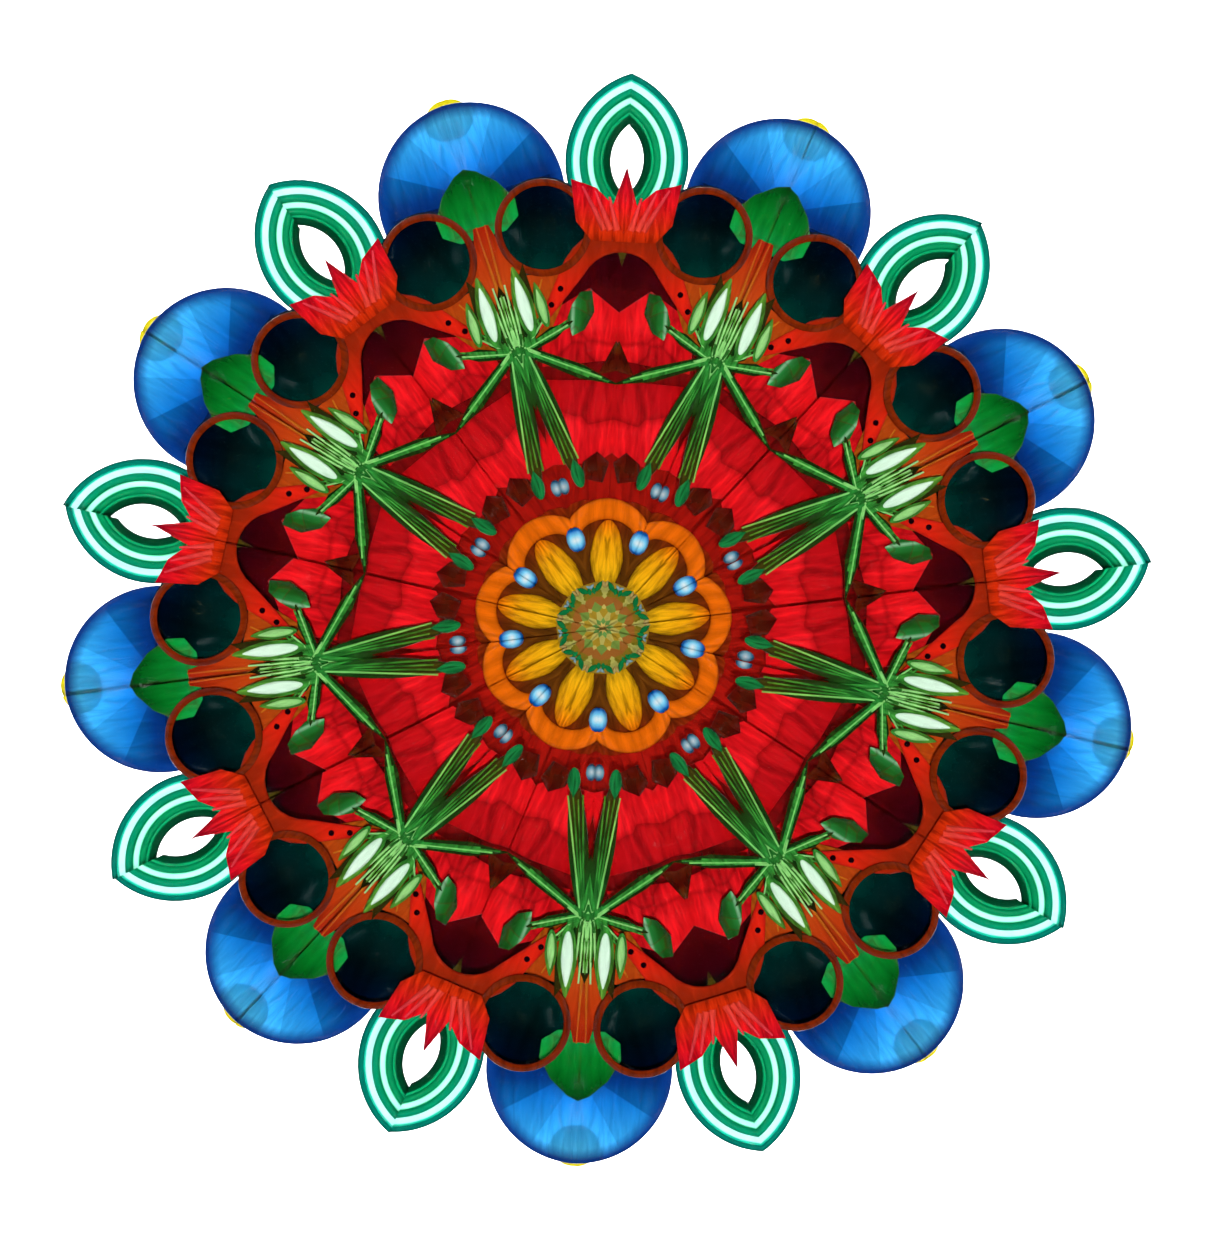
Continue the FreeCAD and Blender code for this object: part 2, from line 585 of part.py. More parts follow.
amber_side = [(2.3, 0.5), (3.7, 2.2), (3.5, 3.2), (1.7, 3.7), (1.0, 4.8), (0.7, 6.2), (0.5, 7.0)]
amber_points = [(0, -1.2)] + amber_side + [(-right, up) for right, up in reversed(amber_side)]
chip("amber_fan", amber_points, 3, *by_line(LEFT, 16.2, 0.0), turn=-10)
round_piece("amber_hoop", "hoop_outer", "chip_thick", 1, *by_line(LEFT, 21.95, 3.3), hole="hoop_hole")
round_piece("night_bead", "2.9", "0.8", 5.2, *by_line(LEFT, 21.9, 3.3))
pebble_side = [(0.7, 1.8), (1.7, 0.9), (2.4, -0.3), (2.3, -1.3), (1.4, -1.9)]
pebble_points = [(0, 2.1)] + pebble_side + [(-right, up) for right, up in reversed(pebble_side)]
chip("green_pebble", pebble_points, 4, *by_line(LEFT, 24.2, 0.0), turn=-10)
round_piece("blue_disc", "disc_radius", "disc_thick", 7.5, *by_line(LEFT, 24.6, 0.0))
round_piece("yellow_seed", "1.3", "0.8", 10.4, *by_line(LEFT, 28.85, 0.2))

tulip = [(-3.1, 2.9), (-2.7, 0.6), (-1.8, -0.4), (1.8, -0.4), (2.7, 0.6), (3.1, 2.9), (1.7, 2.5),
         (0.7, 1.6), (0.0, 3.9), (-0.7, 1.6), (-1.7, 2.5)]
chip("ruby_tulip", tulip, 0, *by_line(RIGHT, 21.6, 0.0), turn=10)
round_piece("teal_ring", "ring_outer", "ring_thick", 6, *by_line(RIGHT, 25.6, -1.5), hole="ring_hole")

# the rest of the charge, beside the mirrors' view
round_piece("blue_marble", "4.2", "disc_thick", 6, -15.5, -6.5, seen=False)
round_piece("teal_hoop", "4.4", "ring_thick", 3, 15.0, -9.0, hole="2.2", seen=False)
round_piece("amber_bead", "3.0", "ring_thick", 1, -10.8, -15.0, seen=False)
round_piece("orange_bead", "3.2", "ring_thick", 8, 12.2, -16.4, seen=False)
round_piece("green_hoop", "3.4", "ring_thick", 2, 20.3, -1.5, hole="1.8", seen=False)
chip("ruby_wedge", [(-3, -2.4), (3.2, -1.6), (1.6, 2.8), (-1.8, 2.2)], 9, -12.0, -12.2, seen=False)
chip("green_shard", [(-3.6, -1.1), (2.6, -1.6), (3.8, 0.9), (-2.2, 1.5)], 4, -20.2, -0.2, turn=30, seen=False)
chip("amber_splinter", [(-3.2, -1.0), (3.4, -1.3), (2.2, 1.6), (-2.6, 1.2)], 6, 20.8, -8.5, turn=60, seen=False)


# ---- check every object, then write one file for each piece ----

doc.recompute()
for thing in doc.Objects:
    if "Invalid" in thing.State or "Error" in thing.State:
        raise RuntimeError(f"{thing.Label} did not compute: {thing.State}")
for piece in finished:
    if piece.Shape.isNull() or not piece.Shape.isValid() or not piece.Shape.Solids:
        raise RuntimeError(f"{piece.Label} is not a valid solid")
for old in os.listdir("parts"):
    os.remove(os.path.join("parts", old))
for piece in finished:
    piece.Shape.exportStep(f"parts/{piece.Label}.step")
print(len(finished), "pieces written")
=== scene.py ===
import bpy
import json
import math
from mathutils import Matrix, Vector

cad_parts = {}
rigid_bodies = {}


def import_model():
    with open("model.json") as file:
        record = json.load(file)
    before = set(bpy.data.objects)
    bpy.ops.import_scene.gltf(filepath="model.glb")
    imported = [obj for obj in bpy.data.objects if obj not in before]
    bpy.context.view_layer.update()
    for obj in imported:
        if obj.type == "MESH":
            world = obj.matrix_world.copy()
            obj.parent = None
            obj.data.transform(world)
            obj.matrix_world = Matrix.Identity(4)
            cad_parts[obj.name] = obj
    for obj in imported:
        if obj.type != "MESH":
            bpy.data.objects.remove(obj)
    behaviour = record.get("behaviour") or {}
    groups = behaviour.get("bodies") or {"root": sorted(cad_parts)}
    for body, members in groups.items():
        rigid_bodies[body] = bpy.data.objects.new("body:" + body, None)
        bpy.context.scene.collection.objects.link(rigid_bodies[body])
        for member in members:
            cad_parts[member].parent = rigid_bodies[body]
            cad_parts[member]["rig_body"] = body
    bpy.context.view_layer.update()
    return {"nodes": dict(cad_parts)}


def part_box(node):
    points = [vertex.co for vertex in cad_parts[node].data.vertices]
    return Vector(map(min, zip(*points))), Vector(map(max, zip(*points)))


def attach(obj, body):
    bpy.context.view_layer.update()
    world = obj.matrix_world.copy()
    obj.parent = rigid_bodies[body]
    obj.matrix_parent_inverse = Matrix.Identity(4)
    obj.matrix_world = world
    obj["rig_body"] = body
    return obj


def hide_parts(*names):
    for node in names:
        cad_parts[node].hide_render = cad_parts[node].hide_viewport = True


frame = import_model()
bpy.ops.object.select_all(action="DESELECT")
nodes = frame["nodes"]
mm = 0.001

# ---- View ----
# The eye looks in at the eyehole, down the line where the two mirrors meet, so the pieces in the cell
# are seen repeated all round that line. A long lens takes in 69 mm at the mirrors' far end.
apex = [corner.co.copy() for corner in nodes["mirror_right"].data.vertices if abs(corner.co.x) < 1e-6]
apex_front = min(apex, key=lambda corner: corner.y)
apex_rear = max(apex, key=lambda corner: corner.y)
window_low, window_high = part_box("eye_window")
AXIS_HEIGHT = (window_low.z + window_high.z) / 2
FIELD = 69.2 * mm
ROLL = math.radians(7)
eye = Vector((0, apex_front.y - 0.2 * mm, AXIS_HEIGHT))
sight = apex_rear - eye
eye_data = bpy.data.cameras.new("eye")
eye_data.sensor_width = 36
eye_data.lens = eye_data.sensor_width * sight.length / FIELD
eye_data.clip_start = 0.1 * mm
eye_data.clip_end = 10
camera = bpy.data.objects.new("eye", eye_data)
bpy.context.scene.collection.objects.link(camera)
looking = sight.to_track_quat("-Z", "Y").to_matrix().to_4x4()
camera.matrix_world = Matrix.Translation(eye) @ looking @ Matrix.Rotation(-ROLL, 4, "Z")
bpy.context.scene.camera = camera

bpy.context.scene.view_settings.view_transform = "Standard"
# Light is mirrored up to ten times on its way to the eye, so the paths are long.
paths = bpy.context.scene.cycles
paths.max_bounces = 36
paths.glossy_bounces = 20
paths.transmission_bounces = 16
paths.transparent_max_bounces = 32
paths.diffuse_bounces = 2
paths.caustics_refractive = True
paths.caustics_reflective = True
paths.blur_glossy = 0
paths.sample_clamp_indirect = 8


# ---- Studio ----
# Soft boxes over and beside the table, one behind the cell that the eye looks towards, and a small
# one at the eyehole that lights the fronts of the loose pieces.
def softbox(name, place, target, width, height, watts):
    """A rectangular light aimed at a point, in metres and watts."""
    data = bpy.data.lights.new(name, "AREA")
    data.shape = "RECTANGLE"
    data.size, data.size_y = width, height
    data.energy = watts
    light = bpy.data.objects.new(name, data)
    bpy.context.scene.collection.objects.link(light)
    aim = Vector(target) - Vector(place)
    light.matrix_world = Matrix.Translation(place) @ aim.to_track_quat("-Z", "Y").to_matrix().to_4x4()
    light.visible_camera = False
    return light


BARREL_MIDDLE = (0, 0, 0.03)
softbox("key", (-0.55, -0.45, 0.75), BARREL_MIDDLE, 0.5, 0.5, 6)
softbox("fill", (0.75, -0.1, 0.45), BARREL_MIDDLE, 0.5, 0.5, 2.4)
cell_light = softbox("cell_light", (0, 0.42, 0.05), (0, 0.1, 0.032), 0.7, 0.6, 1.0)
cell_light.data.spread = math.radians(60)  # keeps its edge off the floor
eyehole_light = softbox("eyehole_light", eye, apex_rear + Vector((0, 0, 0.02)), 0.003, 0.003, 0.95)
eyehole_light.visible_glossy = False
eyehole_light.visible_transmission = False

world = bpy.data.worlds.new("studio")
bpy.context.scene.world = world
world.use_nodes = True
world.node_tree.nodes["Background"].inputs["Color"].default_value = (1, 1, 1, 1)
world.node_tree.nodes["Background"].inputs["Strength"].default_value = 0.75


def add_node(tree, kind, inputs=None, **settings):
    """One shader node: its settings, and its inputs set to values or joined to other nodes' outputs."""
    made = tree.nodes.new("ShaderNode" + kind)
    for name, value in settings.items():
        setattr(made, name, value)
    for name, value in (inputs or {}).items():
        if isinstance(value, bpy.types.NodeSocket):
            tree.links.new(value, made.inputs[name])
        else:
            made.inputs[name].default_value = value
    return made


def new_material(name, **sockets):
    """A material with the Principled sockets given, and its node tree and shader."""
    material = bpy.data.materials.new(name)
    material.use_nodes = True
    shader = material.node_tree.nodes["Principled BSDF"]
    for socket, value in sockets.items():
        shader.inputs[socket.replace("_", " ")].default_value = value
    return material, material.node_tree, shader


def shade(red, green, blue):
    """A colour as it looks on a screen, 0 to 1, made linear for a socket."""
    return (*[part / 12.92 if part <= 0.04045 else ((part + 0.055) / 1.055) ** 2.4
              for part in (red, green, blue)], 1)


def colour_ramp(tree, factor, stops):
    """Colours that run into each other, from (position, colour) stops."""
    made = add_node(tree, "ValToRGB", {"Fac": factor})
    band = made.color_ramp.elements
    while len(band) < len(stops):
        band.new(0.5)
    for element, (position, colour) in zip(band, stops):
        element.position = position
        element.color = colour
    return made.outputs["Color"]


def spread(tree, value, low, high, to_low=0.0, to_high=1.0):
    """A value stretched from one range to another and held inside it."""
    inputs = {"Value": value, "From Min": low, "From Max": high, "To Min": to_low, "To Max": to_high}
    return add_node(tree, "MapRange", inputs).outputs["Result"]


def sum_of(tree, operation, first, second=0.0):
    """One step of arithmetic."""
    made = add_node(tree, "Math", operation=operation)
    for socket, value in zip(made.inputs, (first, second)):
        if isinstance(value, bpy.types.NodeSocket):
            tree.links.new(value, socket)
        else:
            socket.default_value = value
    return made.outputs["Value"]


def blended(tree, factor, first, second, how="MIX"):
    """Two colours mixed by a mask."""
    made = add_node(tree, "Mix", data_type="RGBA", blend_type=how)
    for socket, value in ((made.inputs[0], factor), (made.inputs[6], first), (made.inputs[7], second)):
        if isinstance(value, bpy.types.NodeSocket):
            tree.links.new(value, socket)
        else:
            socket.default_value = value
    return made.outputs[2]


def effect_group(name, inputs, outputs):
    """An empty node group with named sockets: float or vector inputs by their default value, and float
    outputs.
    """
    kinds = {float: "NodeSocketFloat", tuple: "NodeSocketVector"}
    tree = bpy.data.node_groups.new(name, "ShaderNodeTree")
    for label, value in inputs.items():
        socket = tree.interface.new_socket(label, in_out="INPUT", socket_type=kinds[type(value)])
        socket.default_value = value
    for label in outputs:
        tree.interface.new_socket(label, in_out="OUTPUT", socket_type="NodeSocketFloat")
    return tree, tree.nodes.new("NodeGroupInput").outputs, tree.nodes.new("NodeGroupOutput").inputs


def use_group(tree, name, **inputs):
    """A node group set into a material."""
    made = tree.nodes.new("ShaderNodeGroup")
    made.node_tree = bpy.data.node_groups[name]
    for label, value in inputs.items():
        socket = made.inputs[label.replace("_", " ")]
        if isinstance(value, bpy.types.NodeSocket):
            tree.links.new(value, socket)
        else:
            socket.default_value = value
    return made.outputs


# Two effects that most finishes share: edges rubbed bright or bare, and dull blotches from handling.
tree, given, result = effect_group("edge_wear", {"Radius": 0.4 * mm, "Amount": 1.0}, ["Mask"])
rounded = add_node(tree, "Bevel", {"Radius": given["Radius"]}, samples=4)
surface = add_node(tree, "NewGeometry")
turned_by = add_node(tree, "VectorMath", {0: rounded.outputs["Normal"], 1: surface.outputs["Normal"]},
                     operation="DOT_PRODUCT")
edge = spread(tree, turned_by.outputs["Value"], 0.995, 0.86)
where = add_node(tree, "TexCoord").outputs["Object"]
patchy = add_node(tree, "TexNoise", {"Vector": where, "Scale": 180.0, "Detail": 4.0}).outputs["Fac"]
worn = sum_of(tree, "MULTIPLY", edge, spread(tree, patchy, 0.38, 0.6))
tree.links.new(sum_of(tree, "MULTIPLY", worn, given["Amount"]), result["Mask"])

tree, given, result = effect_group("handling", {"Size": 12.0}, ["Blotches", "Specks"])
where = add_node(tree, "TexCoord").outputs["Object"]
inputs = {"Vector": where, "Scale": given["Size"], "Detail": 5.0, "Roughness": 0.65}
soft = add_node(tree, "TexNoise", inputs).outputs["Fac"]
tree.links.new(spread(tree, soft, 0.35, 0.7), result["Blotches"])
fine = add_node(tree, "TexNoise", {"Vector": where, "Scale": 900.0, "Detail": 2.0}).outputs["Fac"]
tree.links.new(spread(tree, fine, 0.66, 0.74), result["Specks"])

FLOOR_SIDE = 60
FLOOR_DROP = 0.2 * mm
bpy.ops.mesh.primitive_plane_add(size=FLOOR_SIDE, location=(0, 0, -FLOOR_DROP))
floor = bpy.context.object
floor.name = "floor"
bpy.ops.object.transform_apply(location=True)
pale, tree, shader = new_material("pale_floor", Roughness=0.7)
blotches = use_group(tree, "handling", Size=3.0)["Blotches"]
tree.links.new(blended(tree, blotches, shade(0.9, 0.895, 0.885), shade(0.87, 0.865, 0.855)),
               shader.inputs["Base Color"])
floor.data.materials.append(pale)
bpy.ops.object.select_all(action="DESELECT")


def finish_nodes(material, *names):
    """Gives CAD nodes a finish in place of their plain one."""
    for name in names:
        mesh = nodes[name].data
        mesh.materials.clear()
        mesh.materials.append(material)


# ---- Barrel staves ----
# Six walnut staves, mitred and glued along their edges to a hexagonal tube, oiled and rubbed down.
# The grain runs along the barrel and each stave is from another part of the board.
tree, given, result = effect_group("wood_grain", {"Start": (0.0, 0.0, 0.0), "Along": (0.0, 1.0, 0.0)},
                                   ["Figure", "Fibres", "Pores"])
where = add_node(tree, "TexCoord").outputs["Object"]
moved = add_node(tree, "VectorMath", {0: where, 1: given["Start"]}, operation="ADD").outputs["Vector"]
drawn = add_node(tree, "VectorMath", {0: given["Along"], 1: (-0.94, -0.94, -0.94)}, operation="MULTIPLY")
narrow = add_node(tree, "VectorMath", {0: drawn.outputs["Vector"], 1: (1, 1, 1)}, operation="ADD")
long_way = add_node(tree, "VectorMath", {0: moved, 1: narrow.outputs["Vector"]}, operation="MULTIPLY")
along_grain = long_way.outputs["Vector"]
sweep = add_node(tree, "TexNoise", {"Vector": along_grain, "Scale": 55.0, "Detail": 3.0, "Distortion": 0.8})
rings = sum_of(tree, "SINE", sum_of(tree, "MULTIPLY", sweep.outputs["Fac"], 46.0))
tree.links.new(spread(tree, rings, -1.0, 1.0), result["Figure"])
fibre = add_node(tree, "TexNoise", {"Vector": along_grain, "Scale": 700.0, "Detail": 4.0})
tree.links.new(fibre.outputs["Fac"], result["Fibres"])
pore = add_node(tree, "TexNoise", {"Vector": along_grain, "Scale": 1900.0, "Detail": 1.0})
tree.links.new(spread(tree, pore.outputs["Fac"], 0.62, 0.7), result["Pores"])


def wood(name, start, dark, light, coat, along=(0.0, 1.0, 0.0)):
    """Oiled or bare wood with its figure, fibres and pores."""
    made, tree, shader = new_material(name, Coat_Weight=coat, Coat_Roughness=0.28)
    grain = use_group(tree, "wood_grain", Start=start, Along=along)
    figure = sum_of(tree, "ADD", sum_of(tree, "MULTIPLY", grain["Figure"], 0.45),
                    sum_of(tree, "MULTIPLY", grain["Fibres"], 0.75))
    colour = colour_ramp(tree, figure, [(0.15, dark), (0.85, light)])
    pored = blended(tree, sum_of(tree, "MULTIPLY", grain["Pores"], 0.7), colour, shade(0.1, 0.05, 0.03))
    worn = use_group(tree, "edge_wear", Radius=0.5 * mm, Amount=0.55)["Mask"]
    tree.links.new(blended(tree, worn, pored, light), shader.inputs["Base Color"])
    dull = use_group(tree, "handling", Size=30.0)["Blotches"]
    tree.links.new(spread(tree, dull, 0.0, 1.0, 0.36, 0.52), shader.inputs["Roughness"])
    height = sum_of(tree, "SUBTRACT", sum_of(tree, "MULTIPLY", grain["Fibres"], 0.5), grain["Pores"])
    bump = add_node(tree, "Bump", {"Height": height, "Strength": 0.35, "Distance": 0.06 * mm})
    tree.links.new(bump.outputs["Normal"], shader.inputs["Normal"])
    return made


STAVES = ("stave_bottom", "stave_left_lower", "stave_left_upper", "stave_top",
          "stave_right_upper", "stave_right_lower")
for number, stave in enumerate(STAVES):
    tone = 0.02 * math.sin(2.4 * number)
    finish_nodes(wood("walnut_" + stave[6:], (0.31 * number, 0.9 * number, 0.17 * number),
                      shade(0.19 + tone, 0.1 + tone, 0.05 + tone),
                      shade(0.44 + tone, 0.27 + tone, 0.15 + tone), 0.22), stave)


# ---- Brass work ----
# The flanges, eyepiece, retainer, grip ring and bezel are turned from brass bar, so fine lathe lines
# run round the barrel's axis. The lacquer has worn through on the edges that hands touch.
tree, given, result = effect_group("lathe_lines", {"Height": AXIS_HEIGHT, "Fineness": 5200.0}, ["Lines"])
where = add_node(tree, "SeparateXYZ", {"Vector": add_node(tree, "TexCoord").outputs["Object"]}).outputs
rise = sum_of(tree, "SUBTRACT", where["Z"], given["Height"])
squares = sum_of(tree, "ADD", sum_of(tree, "MULTIPLY", rise, rise),
                 sum_of(tree, "MULTIPLY", where["X"], where["X"]))
from_axis = sum_of(tree, "SQRT", squares)
turning = add_node(tree, "CombineXYZ", {"X": sum_of(tree, "MULTIPLY", from_axis, given["Fineness"]),
                                        "Y": sum_of(tree, "MULTIPLY", where["Y"], given["Fineness"])})
lines = add_node(tree, "TexNoise", {"Vector": turning.outputs["Vector"], "Scale": 1.0, "Detail": 2.0})
tree.links.new(lines.outputs["Fac"], result["Lines"])


def turned_metal(name, bright, dull, roughness, line_strength=0.25):
    """Turned or ground metal, with lathe lines, tarnish and bright edges."""
    made, tree, shader = new_material(name, Metallic=1.0)
    lines = use_group(tree, "lathe_lines")["Lines"]
    marks = use_group(tree, "handling", Size=45.0)
    tarnish = sum_of(tree, "ADD", sum_of(tree, "MULTIPLY", marks["Blotches"], 0.6),
                     sum_of(tree, "MULTIPLY", marks["Specks"], 0.5))
    colour = blended(tree, tarnish, bright, dull)
    worn = use_group(tree, "edge_wear", Radius=0.35 * mm, Amount=0.8)["Mask"]
    light = tuple(min(1.0, 1.12 * part) for part in bright)
    tree.links.new(blended(tree, worn, colour, light), shader.inputs["Base Color"])
    rough = sum_of(tree, "ADD", sum_of(tree, "MULTIPLY", lines, 0.12),
                   spread(tree, marks["Blotches"], 0.0, 1.0, roughness, roughness + 0.14))
    tree.links.new(rough, shader.inputs["Roughness"])
    bump = add_node(tree, "Bump", {"Height": lines, "Strength": line_strength, "Distance": 0.02 * mm})
    tree.links.new(bump.outputs["Normal"], shader.inputs["Normal"])
    return made


brass = turned_metal("turned_brass", shade(0.91, 0.76, 0.46), shade(0.66, 0.49, 0.27), 0.16)
finish_nodes(brass, "front_flange", "rear_flange", "eyepiece", "grip_ring", "cell_bezel")
retainer_brass = turned_metal("retainer_brass", shade(0.86, 0.7, 0.42), shade(0.55, 0.4, 0.22), 0.24)
finish_nodes(retainer_brass, "eye_retainer")
screw_brass = turned_metal("screw_brass", shade(0.82, 0.66, 0.4), shade(0.5, 0.37, 0.22), 0.22, 0.1)
finish_nodes(screw_brass, "front_flange_screws", "rear_flange_screws")
blued_steel = turned_metal("blued_steel", shade(0.36, 0.36, 0.38), shade(0.22, 0.2, 0.19), 0.3, 0.1)
finish_nodes(blued_steel, "cell_set_screws")

# ---- Mirrors and what holds them ----
# Two strips of front-silvered glass meet in a narrow V, dark card closes the top, tape runs along
# the back of the joint, and notched birch blocks with foam pads wedge the V in the barrel.
silver, tree, shader = new_material("front_silver", Metallic=1.0, Roughness=0.0)
film = use_group(tree, "handling", Size=60.0)["Blotches"]
tree.links.new(blended(tree, film, (0.986, 0.986, 0.986, 1), (0.976, 0.98, 0.982, 1)),
               shader.inputs["Base Color"])
finish_nodes(silver, "mirror_left", "mirror_right")


def fibrous(name, dark, light, roughness, size, depth):
    """Card, tape, foam or felt: a mottled matt colour with a raised or pitted surface."""
    made, tree, shader = new_material(name, Roughness=roughness)
    where = add_node(tree, "TexCoord").outputs["Object"]
    nap = add_node(tree, "TexNoise", {"Vector": where, "Scale": size, "Detail": 5.0, "Roughness": 0.7})
    mottle = colour_ramp(tree, nap.outputs["Fac"], [(0.3, dark), (0.7, light)])
    tree.links.new(mottle, shader.inputs["Base Color"])
    bump = add_node(tree, "Bump", {"Height": nap.outputs["Fac"], "Strength": 0.6, "Distance": depth})
    tree.links.new(bump.outputs["Normal"], shader.inputs["Normal"])
    return made


finish_nodes(fibrous("black_card", shade(0.03, 0.03, 0.03), shade(0.07, 0.07, 0.07), 0.9, 1500.0, 0.03 * mm),
             "mirror_cover")
finish_nodes(fibrous("cloth_tape", shade(0.04, 0.04, 0.05), shade(0.1, 0.1, 0.11), 0.6, 2200.0, 0.05 * mm),
             "apex_tape")
finish_nodes(fibrous("foam", shade(0.12, 0.12, 0.13), shade(0.3, 0.3, 0.31), 0.95, 1300.0, 0.2 * mm),
             "front_foam_pad", "rear_foam_pad")
finish_nodes(fibrous("green_felt", shade(0.1, 0.22, 0.14), shade(0.2, 0.36, 0.24), 1.0, 2600.0, 0.1 * mm),
             "thrust_washer")
birch_ply = wood("birch_ply", (0.2, 0.1, 0.4), shade(0.66, 0.52, 0.36), shade(0.85, 0.74, 0.57), 0.0,
                 along=(1.0, 0.0, 0.0))
finish_nodes(birch_ply, "front_mirror_block", "rear_mirror_block")


# ---- Windows and the cell's clear wall ----
# The eye window and inner window are clear glass, the cell's wall is clear acrylic, and the outer
# window is ground on one side, so that it glows evenly and hides what is behind the instrument.
def clear_sheet(name, tint, thin, thick, smeared):
    """Clear glass or acrylic that light passes straight through, stronger where it is seen edge on."""
    made, tree, shader = new_material(name, Roughness=0.02, Specular_IOR_Level=0.8)
    smears = use_group(tree, "handling", Size=70.0)["Blotches"]
    slant = add_node(tree, "LayerWeight", {"Blend": 0.3}).outputs["Facing"]
    edge_on = spread(tree, slant, 0.2, 1.0, thin, thick)
    cover = sum_of(tree, "ADD", edge_on, sum_of(tree, "MULTIPLY", smears, smeared))
    tree.links.new(cover, shader.inputs["Alpha"])
    light_tint = tuple(min(1.0, 1.5 * part) for part in tint)
    tree.links.new(blended(tree, smears, tint, light_tint), shader.inputs["Base Color"])
    tree.links.new(spread(tree, smears, 0.0, 1.0, 0.02, 0.12), shader.inputs["Roughness"])
    return made


finish_nodes(clear_sheet("eye_window_glass", shade(0.35, 0.45, 0.42), 0.05, 0.5, 0.03), "eye_window")
finish_nodes(clear_sheet("inner_window_glass", shade(0.04, 0.08, 0.07), 0.002, 0.3, 0.002), "inner_window")
finish_nodes(clear_sheet("clear_acrylic", shade(0.5, 0.62, 0.64), 0.06, 0.4, 0.03), "cell_drum")
frosted, tree, shader = new_material("ground_glass", Transmission_Weight=1.0, IOR=1.3, Metallic=0.0)
where = add_node(tree, "TexCoord").outputs["Object"]
ground = add_node(tree, "TexNoise", {"Vector": where, "Scale": 2500.0, "Detail": 3.0}).outputs["Fac"]
tree.links.new(spread(tree, ground, 0.3, 0.7, 0.4, 0.5), shader.inputs["Roughness"])
tree.links.new(blended(tree, ground, (1, 1, 1, 1), (0.97, 0.98, 0.98, 1)), shader.inputs["Base Color"])
finish_nodes(frosted, "outer_window")


# ---- Loose pieces: how they are cut, and their glass ----
# The cell holds cut and moulded pieces of coloured glass and acrylic. Each is cut from the outline that
# the instrument's frame gives it, and is partly clear, so that it also glows with light from behind.
HALF_WEDGE = math.radians(10)
BLUE_LINE, TEAL_LINE = -1, 1


def seen_at(line, out, off, along):
    """The point at `along` on Y, seen `out` mm from the apex along a mirror line and `off` mm into the V."""
    fan = (along - eye.y) / sight.y
    right = line * (out * math.sin(HALF_WEDGE) - off * math.cos(HALF_WEDGE))
    up = out * math.cos(HALF_WEDGE) + off * math.sin(HALF_WEDGE)
    return eye + sight * fan + Vector((right, 0, up)) * mm * fan


def outward(line):
    """The direction along a mirror line, away from the apex."""
    return Vector((line * math.sin(HALF_WEDGE), 0, math.cos(HALF_WEDGE)))


def across_middle(node):
    """The middle of a node's box."""
    low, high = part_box(node)
    return (low + high) / 2


def select_faces(piece, wanted):
    """Edit mode with only the wanted faces selected."""
    bpy.ops.object.mode_set(mode="EDIT")
    bpy.ops.mesh.select_mode(type="FACE")
    bpy.ops.mesh.select_all(action="DESELECT")
    bpy.ops.object.mode_set(mode="OBJECT")
    for face in piece.data.polygons:
        face.select = wanted(face)
    bpy.ops.object.mode_set(mode="EDIT")


def cut_piece(node, name, material):
    """A piece cut to the outline of its CAD node, which it replaces."""
    bpy.ops.object.select_all(action="DESELECT")
    piece = bpy.data.objects.new(name, nodes[node].data.copy())
    bpy.context.scene.collection.objects.link(piece)
    piece.data.materials.clear()
    piece.data.materials.append(material)
    bpy.context.view_layer.objects.active = piece
    piece.select_set(True)
    if piece.data.has_custom_normals:
        bpy.ops.mesh.customdata_custom_splitnormals_clear()
    bpy.ops.object.mode_set(mode="EDIT")
    bpy.ops.mesh.select_all(action="SELECT")
    bpy.ops.mesh.remove_doubles(threshold=0.001 * mm)
    bpy.ops.mesh.dissolve_limited(angle_limit=math.radians(1))
    bpy.ops.object.mode_set(mode="OBJECT")
    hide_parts(node)
    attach(piece, nodes[node]["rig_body"])
    return piece


def set_front(piece, back_by):
    """Moves the piece's front face back, to make room for raised work on it."""
    front = min(corner.co.y for corner in piece.data.vertices)
    for corner in piece.data.vertices:
        if corner.co.y < front + 0.3 * mm:
            corner.co.y += back_by


def facet(piece, rim, rise, crown):
    """Cuts the front to a sloping rim and a table of facets that meet at a low crown."""
    set_front(piece, rise + crown)
    select_faces(piece, lambda face: face.normal.y < -0.9)
    bpy.ops.mesh.inset(thickness=rim, depth=rise)
    bpy.ops.mesh.poke(offset=crown)
    bpy.ops.object.mode_set(mode="OBJECT")


def ease_edges(piece, width=0.06 * mm, segments=2):
    """Rounds the cut edges a little."""
    bpy.ops.object.select_all(action="DESELECT")
    bpy.context.view_layer.objects.active = piece
    piece.select_set(True)
    easing = piece.modifiers.new("eased edges", "BEVEL")
    easing.width = width
    easing.segments = segments
    easing.limit_method = "ANGLE"
    easing.angle_limit = math.radians(25)
    bpy.ops.object.modifier_apply(modifier="eased edges")
    bpy.ops.object.shade_smooth_by_angle(angle=math.radians(30))


def rod(start, end, thick, thin, material, sides=6):
    """A tapering rib from one point to another."""
    run = end - start
    bpy.ops.mesh.primitive_cone_add(vertices=sides, radius1=thick, radius2=thin, depth=run.length)
    made = bpy.context.object
    turned = run.to_track_quat("Z", "Y").to_matrix().to_4x4()
    made.matrix_world = Matrix.Translation((start + end) / 2) @ turned
    bpy.ops.object.transform_apply(location=True, rotation=True, scale=True)
    made.data.materials.append(material)
    return made


